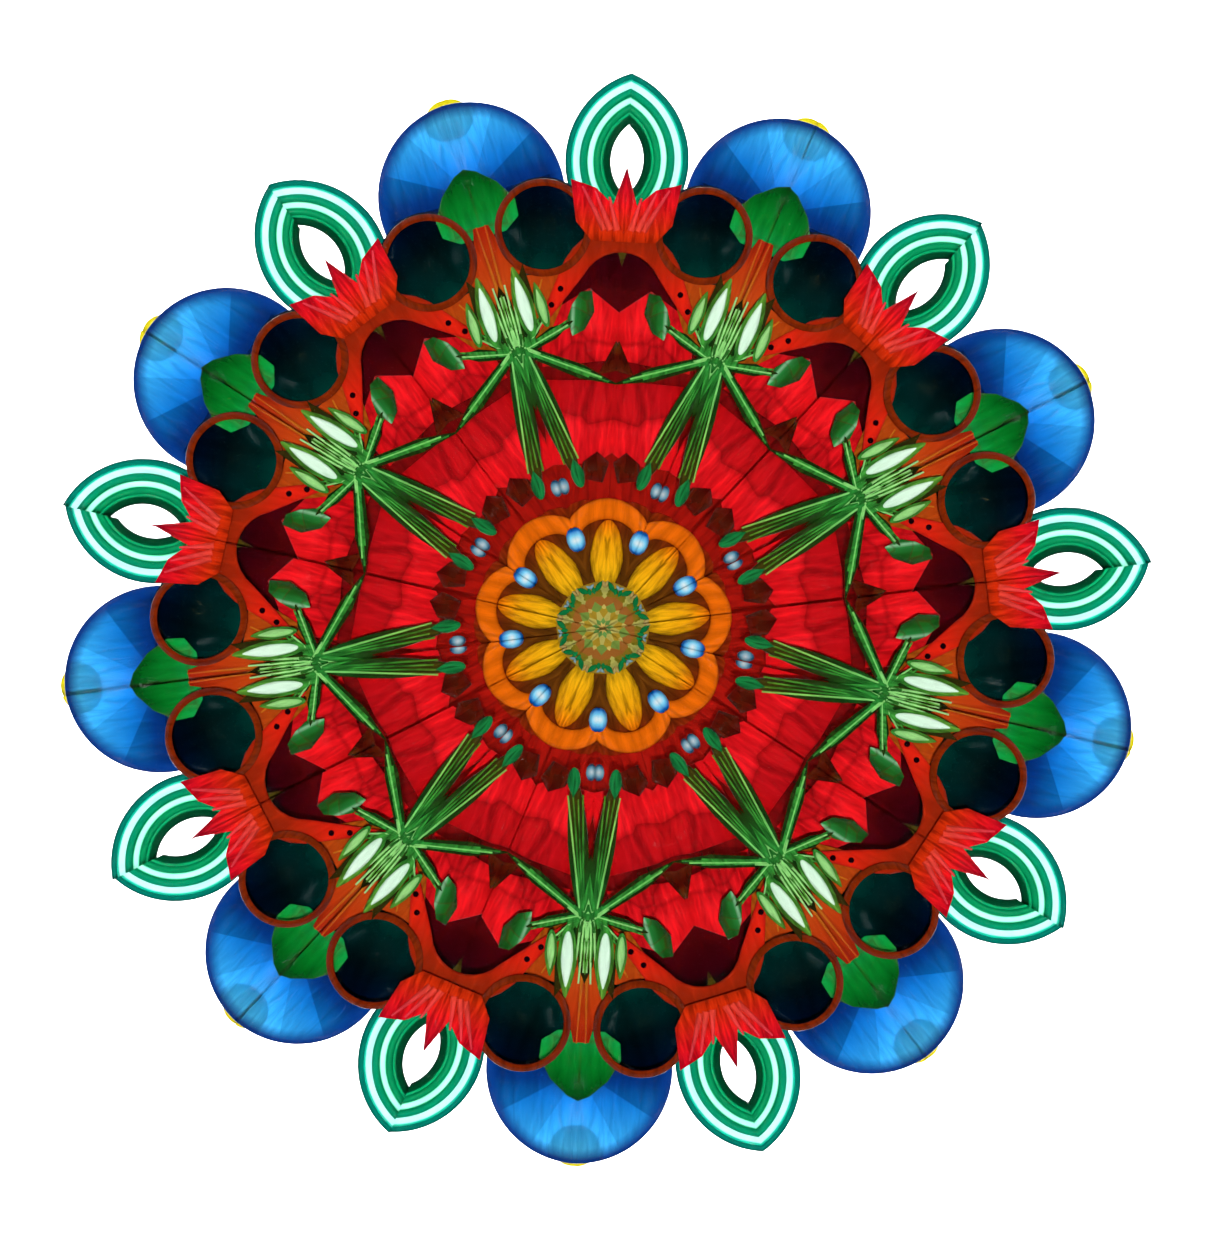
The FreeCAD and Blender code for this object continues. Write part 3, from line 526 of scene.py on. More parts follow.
def petal(middle, heading, length, width, depth, material, point=0.55):
    """A flat drop, drawn to a point at its outer end."""
    bpy.ops.mesh.primitive_uv_sphere_add(segments=16, ring_count=12, radius=1)
    made = bpy.context.object
    for corner in made.data.vertices:
        draw_in = 1 - point * max(0.0, corner.co.z) ** 1.5
        corner.co.x *= draw_in
        corner.co = Vector((corner.co.x * width / 2, corner.co.y * depth / 2, corner.co.z * length / 2))
    lean = math.atan2(heading.x, heading.z)
    made.matrix_world = Matrix.Translation(middle) @ Matrix.Rotation(lean, 4, "Y")
    bpy.ops.object.transform_apply(location=True, rotation=True, scale=True)
    made.data.materials.append(material)
    bpy.ops.object.shade_smooth()
    return made


def join_to(piece, parts):
    """Joins raised work to its piece."""
    bpy.ops.object.select_all(action="DESELECT")
    for part in parts:
        part.select_set(True)
    piece.select_set(True)
    bpy.context.view_layer.objects.active = piece
    bpy.ops.object.join()
    bpy.ops.object.select_all(action="DESELECT")


# How far a point lies along a heading, across it, and from a piece's middle, in metres.
tree, given, result = effect_group("piece_places", {"Middle": (0.0, 0.0, 0.0), "Heading": (0.0, 0.0, 1.0)},
                                   ["Along", "Across", "Round"])
where = add_node(tree, "TexCoord").outputs["Object"]
local = add_node(tree, "VectorMath", {0: where, 1: given["Middle"]}, operation="SUBTRACT").outputs["Vector"]
flat = add_node(tree, "VectorMath", {0: local, 1: (1, 0, 1)}, operation="MULTIPLY").outputs["Vector"]
along = add_node(tree, "VectorMath", {0: flat, 1: given["Heading"]}, operation="DOT_PRODUCT")
side = add_node(tree, "VectorMath", {0: given["Heading"], 1: (0, 1, 0)}, operation="CROSS_PRODUCT")
across = add_node(tree, "VectorMath", {0: flat, 1: side.outputs["Vector"]}, operation="DOT_PRODUCT")
tree.links.new(along.outputs["Value"], result["Along"])
tree.links.new(across.outputs["Value"], result["Across"])
tree.links.new(add_node(tree, "VectorMath", {0: flat}, operation="LENGTH").outputs["Value"], result["Round"])

# Drawn streaks and small seeds in glass, along a piece's heading.
tree, given, result = effect_group("glass_streaks", {"Along": 0.0, "Across": 0.0, "Fineness": 3000.0},
                                   ["Streaks", "Seeds"])
stretched = add_node(tree, "CombineXYZ", {
    "X": sum_of(tree, "MULTIPLY", given["Across"], given["Fineness"]),
    "Y": sum_of(tree, "MULTIPLY", sum_of(tree, "MULTIPLY", given["Along"], given["Fineness"]), 0.16)})
drawn = add_node(tree, "TexNoise", {"Vector": stretched.outputs["Vector"], "Scale": 1.0, "Detail": 4.0,
                                    "Distortion": 0.6})
tree.links.new(spread(tree, drawn.outputs["Fac"], 0.36, 0.66), result["Streaks"])
where = add_node(tree, "TexCoord").outputs["Object"]
seed = add_node(tree, "TexVoronoi", {"Vector": where, "Scale": 1400.0}).outputs["Distance"]
tree.links.new(spread(tree, seed, 0.14, 0.05), result["Seeds"])


# Painted facet shade: flat breaks across a chip, each painted a little darker or lighter than the next as if
# turned to or from the light, with a dark painted crease line between.
tree, given, result = effect_group("painted_fold_shade", {"Size": 500.0}, ["Breaks", "Lines"])
where = add_node(tree, "TexCoord").outputs["Object"]
bent = add_node(tree, "TexNoise", {"Vector": where, "Scale": 260.0, "Detail": 2.0}).outputs["Color"]
shifted = add_node(tree, "VectorMath", {0: bent, 1: (0.0016, 0.0016, 0.0016)}, operation="MULTIPLY")
spot = add_node(tree, "VectorMath", {0: where, 1: shifted.outputs["Vector"]}, operation="ADD")
breaks = add_node(tree, "TexVoronoi", {"Vector": spot.outputs["Vector"], "Scale": given["Size"]})
tone = add_node(tree, "SeparateColor", {"Color": breaks.outputs["Color"]}).outputs["Red"]
tree.links.new(tone, result["Breaks"])
edges = add_node(tree, "TexVoronoi", {"Vector": spot.outputs["Vector"], "Scale": given["Size"]},
                 feature="DISTANCE_TO_EDGE")
tree.links.new(spread(tree, edges.outputs["Distance"], 0.07, 0.0), result["Lines"])


def coloured_glass(name, middle, heading, reach, stops, pattern="Along", clear=0.35, dark=0.45,
                   fineness=3000.0, relief=0.35, fold_shade=0.0, rim=None, painted_facet_shade=None):
    """Glass whose colour runs along or round the piece, with streaks, seeds and a drawn surface.

    `fold_shade` paints facet shade on its flat breaks and dark crease lines between them, `rim` is the
    colour of the painted shade that its round edge turns to, and `painted_facet_shade` gives the painted
    shade of the cut flats round it, by share of a half turn from its heading."""
    made, tree, shader = new_material(name, Transmission_Weight=clear, IOR=1.25, Metallic=0.0, Roughness=0.1)
    place = use_group(tree, "piece_places", Middle=tuple(middle), Heading=tuple(heading))
    low = 0.0 if pattern == "Round" else -reach
    run = colour_ramp(tree, spread(tree, place[pattern], low, reach), stops)
    marks = use_group(tree, "glass_streaks", Along=place["Along"], Across=place["Across"], Fineness=fineness)
    dim = spread(tree, marks["Streaks"], 0.0, 1.0, 1.0 - dark, 1.0)
    colour = blended(tree, 1.0, run, dim, "MULTIPLY")
    # Painted shade: darker and lighter flat breaks, and dark crease lines between them.
    if fold_shade:
        shaded_breaks = use_group(tree, "painted_fold_shade", Size=fold_shade)
        tone = spread(tree, shaded_breaks["Breaks"], 0.1, 0.9, 0.68, 1.12)
        colour = blended(tree, 1.0, colour, tone, "MULTIPLY")
        line = sum_of(tree, "MULTIPLY", shaded_breaks["Lines"], 0.4)
        colour = blended(tree, line, colour, shade(0.3, 0.02, 0.02))
    # Painted shade on the cut flats, darker in steps away from the heading.
    if painted_facet_shade:
        turn = sum_of(tree, "ARCTAN2", place["Across"], place["Along"])
        share = sum_of(tree, "DIVIDE", sum_of(tree, "ABSOLUTE", turn, 0.0), math.pi)
        tone = colour_ramp(tree, share, [(start, (grey, grey, grey, 1)) for start, grey in painted_facet_shade])
        tone.node.color_ramp.interpolation = "CONSTANT"
        colour = blended(tree, 1.0, colour, tone, "MULTIPLY")
    # Painted shade round the round edge.
    if rim:
        colour = blended(tree, spread(tree, place["Round"], 0.86 * reach, 0.98 * reach), colour, rim)
    tree.links.new(colour, shader.inputs["Base Color"])
    bump = add_node(tree, "Bump", {"Height": sum_of(tree, "SUBTRACT", marks["Streaks"], marks["Seeds"]),
                                   "Strength": relief, "Distance": 0.05 * mm})
    tree.links.new(bump.outputs["Normal"], shader.inputs["Normal"])
    return made


BLUE_WAY, TEAL_WAY = outward(BLUE_LINE), outward(TEAL_LINE)

# ---- Blue disc ----
# A moulded jewel of cobalt glass, sky blue towards its outer end and navy at its foot.
middle = across_middle("blue_disc")
# Painted shade: the cut flats darken in steps away from the outer end, and the edge turns navy.
blue_glass = coloured_glass("blue_glass", middle, BLUE_WAY, 5.4 * mm, [
    (0.0, shade(0.01, 0.02, 0.2)), (0.42, shade(0.02, 0.08, 0.38)), (0.56, shade(0.03, 0.28, 0.66)),
    (0.68, shade(0.07, 0.48, 0.84)), (0.86, shade(0.2, 0.64, 0.92)), (1.0, shade(0.3, 0.72, 0.95))],
    clear=0.35, dark=0.28, fineness=2600.0, rim=shade(0.03, 0.2, 0.5),
    painted_facet_shade=[(0.0, 0.95), (0.17, 0.72), (0.33, 0.42), (0.5, 0.25)])
jewel = cut_piece("blue_disc", "blue_jewel", blue_glass)
facet(jewel, 0.9 * mm, 0.35 * mm, 0.12 * mm)
ease_edges(jewel)

# ---- Green pebble ----
# A rounded triangle of green glass, brightest at its lower tip, in front of the blue disc's foot.
middle = across_middle("green_pebble")
green_glass = coloured_glass("green_glass", middle, BLUE_WAY, 2.2 * mm, [
    (0.0, shade(0.12, 0.85, 0.42)), (0.4, shade(0.04, 0.66, 0.22)), (0.7, shade(0.02, 0.5, 0.14)),
    (1.0, shade(0.02, 0.36, 0.12))], clear=0.4, dark=0.35, fold_shade=260.0)
pebble = cut_piece("green_pebble", "green_pebble_cut", green_glass)
facet(pebble, 0.5 * mm, 0.3 * mm, 0.15 * mm)
ease_edges(pebble)

# ---- Teal ring ----
# A pressed ring with raised ribs, seen with its mirror image as a pointed arch. The grooves between
# its teal ribs are painted near white for the light that comes through them, and the rib round the hole is
# deep green.
middle = across_middle("teal_ring")
RING_OUTER = 5.2 * mm
# The two near-white bands are painted light in the grooves between the ribs.
ring_and_groove_light_stops = [
    (0.5, shade(0.0, 0.22, 0.13)), (0.58, shade(0.0, 0.36, 0.2)), (0.62, shade(0.02, 0.64, 0.4)),
    (0.69, shade(0.05, 0.72, 0.46)), (0.705, shade(0.62, 0.96, 0.86)), (0.74, shade(0.66, 0.97, 0.88)),
    (0.755, shade(0.02, 0.64, 0.42)), (0.835, shade(0.04, 0.72, 0.54)), (0.85, shade(0.66, 0.98, 0.94)),
    (0.9, shade(0.7, 1.0, 0.96)), (0.915, shade(0.03, 0.68, 0.56)), (1.0, shade(0.0, 0.45, 0.42))]
teal_glass = coloured_glass("teal_glass", middle, TEAL_WAY, RING_OUTER, ring_and_groove_light_stops, pattern="Round",
                            clear=0.45, dark=0.22, fineness=1500.0)
ring = cut_piece("teal_ring", "teal_ring_ribbed", teal_glass)
set_front(ring, 0.3 * mm)
ring_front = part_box("teal_ring")[0].y
ribs = []
for share, width in ((0.965, 0.17), (0.8, 0.22), (0.65, 0.2), (0.54, 0.2)):
    bpy.ops.mesh.primitive_torus_add(major_radius=share * RING_OUTER, minor_radius=width * mm,
                                     major_segments=96, minor_segments=10, rotation=(math.pi / 2, 0, 0),
                                     location=(middle.x, ring_front + 0.3 * mm, middle.z))
    rib = bpy.context.object
    bpy.ops.object.transform_apply(location=True, rotation=True, scale=True)
    rib.data.materials.append(teal_glass)
    bpy.ops.object.shade_smooth()
    ribs.append(rib)
join_to(ring, ribs)

# ---- Ruby tulip ----
# A moulded flower with a long middle spike; its petals are fluted and turn orange at the lip.
middle = across_middle("ruby_tulip")
tulip_glass = coloured_glass("tulip_glass", middle, TEAL_WAY, 2.6 * mm, [
    (0.0, shade(0.62, 0.16, 0.03)), (0.2, shade(0.9, 0.2, 0.05)), (0.5, shade(0.97, 0.1, 0.12)),
    (0.75, shade(0.9, 0.05, 0.16)), (1.0, shade(0.7, 0.02, 0.2))], clear=0.3, dark=0.55, fineness=4200.0)
flute_glass = coloured_glass("flute_glass", middle, TEAL_WAY, 2.6 * mm, [
    (0.0, shade(0.95, 0.3, 0.12)), (0.6, shade(0.98, 0.25, 0.3)), (1.0, shade(0.9, 0.12, 0.3))],
    clear=0.3, dark=0.3)
tulip = cut_piece("ruby_tulip", "ruby_tulip_fluted", tulip_glass)
set_front(tulip, 0.35 * mm)
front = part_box("ruby_tulip")[0].y
flutes = []
for lean, length in ((-2.4, 2.2), (-1.7, 2.0), (-0.9, 1.7), (0.9, 1.7), (1.7, 2.0), (2.4, 2.2)):
    start = seen_at(TEAL_LINE, 21.8, 0.45 * lean, front + 0.25 * mm)
    end = seen_at(TEAL_LINE, 21.9 + length, lean, front + 0.28 * mm)
    flutes.append(rod(start, end, 0.2 * mm, 0.06 * mm, flute_glass))
spike_spot = seen_at(TEAL_LINE, 23.4, 0, front + 0.3 * mm)
flutes.append(petal(spike_spot, TEAL_WAY, 3.6 * mm, 0.8 * mm, 0.5 * mm, tulip_glass))
join_to(tulip, flutes)
ease_edges(tulip, 0.04 * mm)

# ---- Amber hoop and the dark bead behind it ----
# A thin red-brown hoop lies over a nearly black bead of bottle green and navy glass.
middle = across_middle("amber_hoop")
hoop_glass = coloured_glass("hoop_glass", middle, BLUE_WAY, 3 * mm, [
    (0.0, shade(0.62, 0.2, 0.03)), (0.5, shade(0.48, 0.11, 0.02)), (1.0, shade(0.58, 0.18, 0.03))],
    clear=0.3, dark=0.5)
hoop = cut_piece("amber_hoop", "amber_hoop_round", hoop_glass)
ease_edges(hoop, 0.15 * mm, 3)
middle = across_middle("night_bead")
night_glass = coloured_glass("night_glass", middle, TEAL_WAY, 3 * mm, [
    (0.0, shade(0.0, 0.24, 0.2)), (0.3, shade(0.0, 0.15, 0.14)), (0.6, shade(0.0, 0.06, 0.08)),
    (1.0, shade(0.0, 0.03, 0.14))], clear=0.15, dark=0.6, fineness=700.0)
bead = cut_piece("night_bead", "night_bead_cut", night_glass)
facet(bead, 0.6 * mm, 0.25 * mm, 0.05 * mm)
ease_edges(bead)

# ---- Amber fan ----
# Moulded amber acrylic with a raised rib down each fold; it runs up the blue line as a narrow web.
middle = across_middle("amber_fan")
amber_glass = coloured_glass("amber_glass", middle, BLUE_WAY, 4.2 * mm, [
    (0.0, shade(0.5, 0.3, 0.04)), (0.3, shade(0.72, 0.33, 0.07)), (0.6, shade(0.78, 0.27, 0.07)),
    (1.0, shade(0.7, 0.14, 0.05))], clear=0.3, dark=0.42, fineness=2600.0)
vein_glass = coloured_glass("vein_glass", middle, BLUE_WAY, 4.2 * mm, [
    (0.0, shade(0.7, 0.62, 0.15)), (0.5, shade(0.85, 0.48, 0.12)), (1.0, shade(0.8, 0.3, 0.08))],
    clear=0.3, dark=0.3)
fan = cut_piece("amber_fan", "amber_fan_ribbed", amber_glass)
set_front(fan, 0.3 * mm)
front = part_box("amber_fan")[0].y
veins = []
VEINS = ((-3.2, 3.2), (-2.4, 3.5), (-1.0, 4.6), (-0.3, 7.2), (0.3, 7.2), (1.0, 4.6), (2.4, 3.5), (3.2, 3.2))
for lean, length in VEINS:
    start = seen_at(BLUE_LINE, 15.8, 0.12 * lean, front + 0.28 * mm)
    end = seen_at(BLUE_LINE, 15.8 + length, lean, front + 0.28 * mm)
    veins.append(rod(start, end, 0.14 * mm, 0.05 * mm, vein_glass))
join_to(fan, veins)
ease_edges(fan, 0.04 * mm)

# ---- Ruby arch ----
# A bent strip of red glass with two dark bubbles in each leg, over the mouth of the dark disc.
middle = across_middle("ruby_arch")
arch_glass = coloured_glass("arch_glass", middle, TEAL_WAY, 3.6 * mm, [
    (0.0, shade(0.95, 0.12, 0.1)), (0.55, shade(0.9, 0.14, 0.06)), (0.8, shade(0.72, 0.16, 0.04)),
    (1.0, shade(0.6, 0.16, 0.05))], clear=0.3, dark=0.35, fineness=1800.0)
bubble_glass = coloured_glass("bubble_glass", middle, TEAL_WAY, 3.6 * mm, [
    (0.0, shade(0.12, 0.0, 0.02)), (1.0, shade(0.05, 0.0, 0.02))], clear=0.1)
arch = cut_piece("ruby_arch", "ruby_arch_bent", arch_glass)
set_front(arch, 0.14 * mm)
ease_edges(arch, 0.2 * mm, 3)
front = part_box("ruby_arch")[0].y
bubbles = []
for side in (-1, 1):
    for out, off in ((17.6, 3.75), (18.5, 3.3)):
        spot = seen_at(TEAL_LINE, out, side * off, front + 0.12 * mm)
        bubbles.append(petal(spot, TEAL_WAY, 0.34 * mm, 0.34 * mm, 0.2 * mm, bubble_glass, 0.1))
join_to(arch, bubbles)

# ---- Fern star ----
# A pressed fern star of olive glass. Fine green needles run down each of its rays from a knot, some
# painted pale as highlights, the long inner ray ends in a green drop, and the short petals that point
# outwards have cores painted near white as highlights.
middle = across_middle("fern_star")
star_centre = (15.9, 0.35)
STAR_REACH = 7 * mm
plate_glass = coloured_glass("star_plate_glass", middle, BLUE_WAY, STAR_REACH, [
    (0.0, shade(0.3, 0.2, 0.02)), (0.4, shade(0.14, 0.24, 0.06)), (0.7, shade(0.07, 0.24, 0.07)),
    (1.0, shade(0.28, 0.16, 0.03))], clear=0.25, dark=0.7, fineness=5000.0)
needle_glass = coloured_glass("needle_glass", middle, BLUE_WAY, STAR_REACH, [
    (0.0, shade(0.46, 0.56, 0.12)), (0.3, shade(0.26, 0.6, 0.2)), (0.6, shade(0.2, 0.62, 0.24)),
    (1.0, shade(0.44, 0.66, 0.2))], clear=0.2, dark=0.75, fineness=4200.0)
# Painted highlight: the pale needles stand in for glints on the glass.
needle_highlight = coloured_glass("needle_highlight_glass", middle, BLUE_WAY, STAR_REACH, [
    (0.0, shade(0.6, 0.74, 0.28)), (0.5, shade(0.5, 0.86, 0.44)), (1.0, shade(0.72, 0.92, 0.6))],
    clear=0.2, dark=0.3, fineness=5200.0)
# Painted highlight: the near white petal cores.
petal_core_highlight = coloured_glass("petal_core_highlight_glass", middle, BLUE_WAY, STAR_REACH, [
    (0.0, shade(0.7, 0.95, 0.75)), (1.0, shade(0.9, 1.0, 0.92))], clear=0.2, dark=0.15, fineness=6000.0)
stalk_glass = coloured_glass("stalk_glass", middle, BLUE_WAY, STAR_REACH, [
    (0.0, shade(0.34, 0.22, 0.05)), (0.3, shade(0.22, 0.3, 0.08)), (0.5, shade(0.1, 0.36, 0.12)),
    (1.0, shade(0.34, 0.3, 0.06))], clear=0.4, dark=0.6, fineness=3600.0)
drop_glass = coloured_glass("green_drop_glass", middle, BLUE_WAY, STAR_REACH, [
    (0.0, shade(0.12, 0.6, 0.3)), (1.0, shade(0.1, 0.45, 0.2))], clear=0.35, dark=0.7, fineness=5200.0)
star = cut_piece("fern_star", "fern_star_plate", plate_glass)
set_front(star, 0.6 * mm)
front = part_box("fern_star")[0].y


def star_point(direction, length, aside, along):
    """A point on the star, `length` mm from its knot, at degrees from across the blue line."""
    turn = math.radians(direction)
    right = length * math.cos(turn) - aside * math.sin(turn)
    up = length * math.sin(turn) + aside * math.cos(turn)
    return seen_at(BLUE_LINE, star_centre[0] + up, star_centre[1] + right, along)


# Direction, length and half width of each ray, in degrees and mm.
needles = []
RAYS = ((-104, 7.6, 0.5), (-84, 8.1, 0.55), (-37, 5.2, 0.2), (14, 3.2, 0.22), (46, 2.2, 0.25),
        (98, 3.4, 0.45), (164, 4.0, 0.35), (217, 5.0, 0.45))
for number, (direction, length, half) in enumerate(RAYS):
    heading = (star_point(direction, length, 0, front) - star_point(direction, 0, 0, front)).normalized()
    stalk_spot = star_point(direction, 0.5 * length, 0, front + 0.5 * mm)
    needles.append(petal(stalk_spot, heading, 0.96 * length * mm, 2.1 * half * mm, 0.3 * mm,
                         stalk_glass, 0.35))
    for strand in (-1.5, -0.5, 0.5, 1.5):
        rank = number + int(strand + 1.5)
        reach = length * (0.97 - 0.05 * abs(strand) - 0.08 * (rank % 3))
        start = star_point(direction, -0.25, 0.05 * strand, front + 0.38 * mm)
        end = star_point(direction, reach, 0.5 * half * strand, front + 0.38 * mm)
        # Every fourth needle is a painted highlight.
        glass = needle_highlight if rank % 4 == 0 else needle_glass
        needles.append(rod(start, end, 0.07 * mm, 0.05 * mm, glass))
drop_spot = star_point(-84, 7.3, 0.05, front + 0.3 * mm)
needles.append(petal(drop_spot, BLUE_WAY, 1.7 * mm, 0.75 * mm, 0.4 * mm, drop_glass, 0.8))
for out, off, length, width in ((18.4, 1.05, 4.1, 1.1), (18.0, 1.95, 2.6, 0.7), (18.4, -1.05, 4.1, 1.1)):
    spot = seen_at(BLUE_LINE, out, off, front + 0.38 * mm)
    needles.append(petal(spot, BLUE_WAY, length * mm, width * mm, 0.4 * mm, needle_glass))
    core = seen_at(BLUE_LINE, out - 0.1, off, front + 0.22 * mm)
    # The petal cores are painted highlights.
    glass = needle_highlight if length < 3 else petal_core_highlight
    needles.append(petal(core, BLUE_WAY, 0.76 * length * mm, 0.62 * width * mm, 0.34 * mm, glass))
# Three pale rods up the blue line are painted highlights.
for out, off in ((19.0, 0.12), (19.6, 0.36), (18.8, 0.6)):
    start = seen_at(BLUE_LINE, 16.2, 0.6 * off, front + 0.4 * mm)
    end = seen_at(BLUE_LINE, out, off, front + 0.4 * mm)
    needles.append(rod(start, end, 0.1 * mm, 0.05 * mm, needle_highlight))
# The last cross rod is a painted highlight.
for direction, glass in ((20, needle_glass), (75, needle_glass), (140, needle_glass), (260, needle_glass),
                         (320, needle_highlight)):
    start, end = [star_point(direction, reach, 0.15, front + 0.3 * mm) for reach in (-0.7, 0.9)]
    needles.append(rod(start, end, 0.05 * mm, 0.08 * mm, glass))
join_to(star, needles)

# ---- Ruby chips and the dark disc behind them ----
# Broken sheet glass: bright red chips with folded facets, brown splinters between them, and a
# dark garnet disc at the back that turns the gaps maroon.
red_stops = [(0.0, shade(0.9, 0.06, 0.07)), (0.3, shade(1.0, 0.1, 0.13)), (0.7, shade(1.0, 0.1, 0.14)),
             (1.0, shade(0.9, 0.05, 0.07))]
brown_stops = [(0.0, shade(0.42, 0.14, 0.03)), (0.5, shade(0.36, 0.05, 0.02)), (1.0, shade(0.34, 0.2, 0.04))]
olive_stops = [(0.0, shade(0.3, 0.2, 0.03)), (1.0, shade(0.45, 0.42, 0.12))]
maroon_stops = [(0.0, shade(0.62, 0.08, 0.04)), (0.4, shade(0.45, 0.03, 0.03)),
                (0.75, shade(0.3, 0.01, 0.03)), (1.0, shade(0.14, 0.0, 0.05))]
# The leaf's pale band is a painted highlight.
leaf_highlight_stops = [(0.0, shade(0.1, 0.26, 0.06)), (0.45, shade(0.12, 0.4, 0.12)), (0.62, shade(0.2, 0.62, 0.28)),
              (0.68, shade(0.65, 0.92, 0.7)), (0.74, shade(0.14, 0.5, 0.18)), (1.0, shade(0.08, 0.26, 0.06))]
splinter_stops = [(0.0, shade(0.46, 0.06, 0.03)), (0.5, shade(0.36, 0.1, 0.03)),
                  (1.0, shade(0.4, 0.04, 0.03))]
# Painted highlight: the sky beads and blue marble are near white in the middle.
bead_highlight_stops = [(0.0, shade(0.95, 1.0, 1.0)), (0.4, shade(0.5, 0.86, 1.0)), (0.8, shade(0.05, 0.45, 0.85)),
              (1.0, shade(0.02, 0.25, 0.5))]
# Painted highlight: the crystal drop is a near white glint in the middle.
drop_glint_stops = [(0.0, shade(0.9, 0.98, 1.0)), (0.45, shade(0.55, 0.8, 0.9)), (0.8, shade(0.12, 0.4, 0.6)),
              (1.0, shade(0.06, 0.2, 0.35))]
yellow_stops = [(0.0, shade(1.0, 0.95, 0.25)), (1.0, shade(0.95, 0.9, 0.1))]
amber_stops = [(0.0, shade(0.75, 0.35, 0.08)), (1.0, shade(0.6, 0.2, 0.04))]
orange_stops = [(0.0, shade(0.98, 0.6, 0.12)), (1.0, shade(0.92, 0.36, 0.06))]
ring_like = [(0.4, shade(0.0, 0.3, 0.22)), (0.7, shade(0.1, 0.65, 0.5)), (1.0, shade(0.03, 0.45, 0.4))]
# Each chip's colours, heading, pattern, clearness, darkest streak, and its rim, rise and crown in mm.
CHIPS = {
    "ruby_shard": (red_stops, TEAL_WAY, "Across", 0.35, 0.45, 0.7, 0.35, 0.25),
    "ruby_pentagon": (red_stops, TEAL_WAY, "Across", 0.35, 0.5, 0.6, 0.35, 0.25),
    "garnet_splinter": (splinter_stops, TEAL_WAY, "Along", 0.35, 0.5, 0.3, 0.25, 0.1),
    "umber_splinter": (brown_stops, TEAL_WAY, "Along", 0.3, 0.5, 0.2, 0.25, 0.1),
    "garnet_disc": (maroon_stops, TEAL_WAY, "Along", 0.35, 0.45, 1.5, 0.3, 0.1),
    "olive_shard": (olive_stops, TEAL_WAY, "Along", 0.35, 0.4, 0.12, 0.2, 0.08),
    "green_leaf": (leaf_highlight_stops, TEAL_WAY, "Across", 0.25, 0.3, 0.3, 0.3, 0.12),
    "crystal_drop": (drop_glint_stops, BLUE_WAY, "Round", 0.5, 0.2, 0.15, 0.25, 0.12),
    "sky_bead": (bead_highlight_stops, BLUE_WAY, "Round", 0.3, 0.2, 0.15, 0.25, 0.12),
    "yellow_seed": (yellow_stops, BLUE_WAY, "Round", 0.4, 0.2, 0.25, 0.2, 0.1),
    "blue_marble": (bead_highlight_stops, BLUE_WAY, "Round", 0.6, 0.4, 1.0, 0.4, 0.2),
    "amber_bead": (amber_stops, BLUE_WAY, "Round", 0.5, 0.4, 0.7, 0.35, 0.2),
    "orange_bead": (orange_stops, TEAL_WAY, "Round", 0.5, 0.4, 0.8, 0.35, 0.2),
    "ruby_wedge": (red_stops, BLUE_WAY, "Across", 0.5, 0.5, 0.7, 0.35, 0.2),
    "green_shard": ([(0.0, shade(0.08, 0.6, 0.25)), (1.0, shade(0.03, 0.36, 0.12))], BLUE_WAY, "Along",
                    0.5, 0.4, 0.5, 0.3, 0.15),
    "amber_splinter": (amber_stops, TEAL_WAY, "Along", 0.5, 0.5, 0.5, 0.3, 0.15),
}
# How finely the painted facet shade breaks up the folded chips.
FOLD_SHADE_SIZE = {"ruby_shard": 250.0, "ruby_pentagon": 300.0, "garnet_disc": 300.0,
          "green_leaf": 900.0, "ruby_wedge": 400.0, "green_shard": 400.0, "umber_splinter": 900.0}
for node, (stops, heading, pattern, clear, dark, rim, rise, crown) in CHIPS.items():
    low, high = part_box(node)
    reach = max(high.x - low.x, high.z - low.z) / 2
    glass = coloured_glass(node + "_glass", (low + high) / 2, heading, reach, stops, pattern, clear, dark,
                           fold_shade=FOLD_SHADE_SIZE.get(node, 0.0))
    piece = cut_piece(node, node + "_cut", glass)
    facet(piece, rim * mm, rise * mm, crown * mm)
    ease_edges(piece, 0.04 * mm)
for node in ("teal_hoop", "green_hoop"):
    low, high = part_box(node)
    glass = coloured_glass(node + "_glass", (low + high) / 2, TEAL_WAY, (high.x - low.x) / 2,
                           ring_like, "Round", 0.5)
    ease_edges(cut_piece(node, node + "_round", glass), 0.2 * mm, 3)

# ---- Orange fan and gold button ----
# Moulded orange acrylic: a scalloped border, a petal down the middle of each lobe and brown hollows
# between the petals. The gold button over its foot is set with small olive, gold and green chips, and near
# white sky chips that are painted glints.
middle = across_middle("orange_fan")
hollow_glass = coloured_glass("hollow_glass", middle, TEAL_WAY, 7 * mm, [
    (0.0, shade(0.3, 0.24, 0.05)), (0.6, shade(0.42, 0.22, 0.04)), (0.8, shade(0.6, 0.15, 0.03)),
    (1.0, shade(0.6, 0.15, 0.03))], clear=0.3, dark=0.6)
border_glass = coloured_glass("border_glass", middle, TEAL_WAY, 7 * mm, [
    (0.0, shade(1.0, 0.5, 0.05)), (1.0, shade(1.0, 0.44, 0.04))], clear=0.3, dark=0.4, fineness=2600.0)
petal_glass = coloured_glass("orange_petal_glass", middle, TEAL_WAY, 7 * mm, [
    (0.0, shade(0.8, 0.5, 0.04)), (0.42, shade(1.0, 0.78, 0.1)), (0.62, shade(1.0, 0.68, 0.05)),
    (0.72, shade(1.0, 0.46, 0.02)), (1.0, shade(0.9, 0.35, 0.02))], clear=0.3, dark=0.6, fineness=4500.0)
plate = cut_piece("orange_fan", "orange_fan_plate", hollow_glass)
set_front(plate, 0.6 * mm)
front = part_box("orange_fan")[0].y
raised = []
LOBE = math.radians(40)
STEPS = 12
bpy.ops.curve.primitive_nurbs_path_add()
border = bpy.context.object
path = border.data
path.splines.clear()
line = path.splines.new("NURBS")
line.points.add(5 * STEPS)
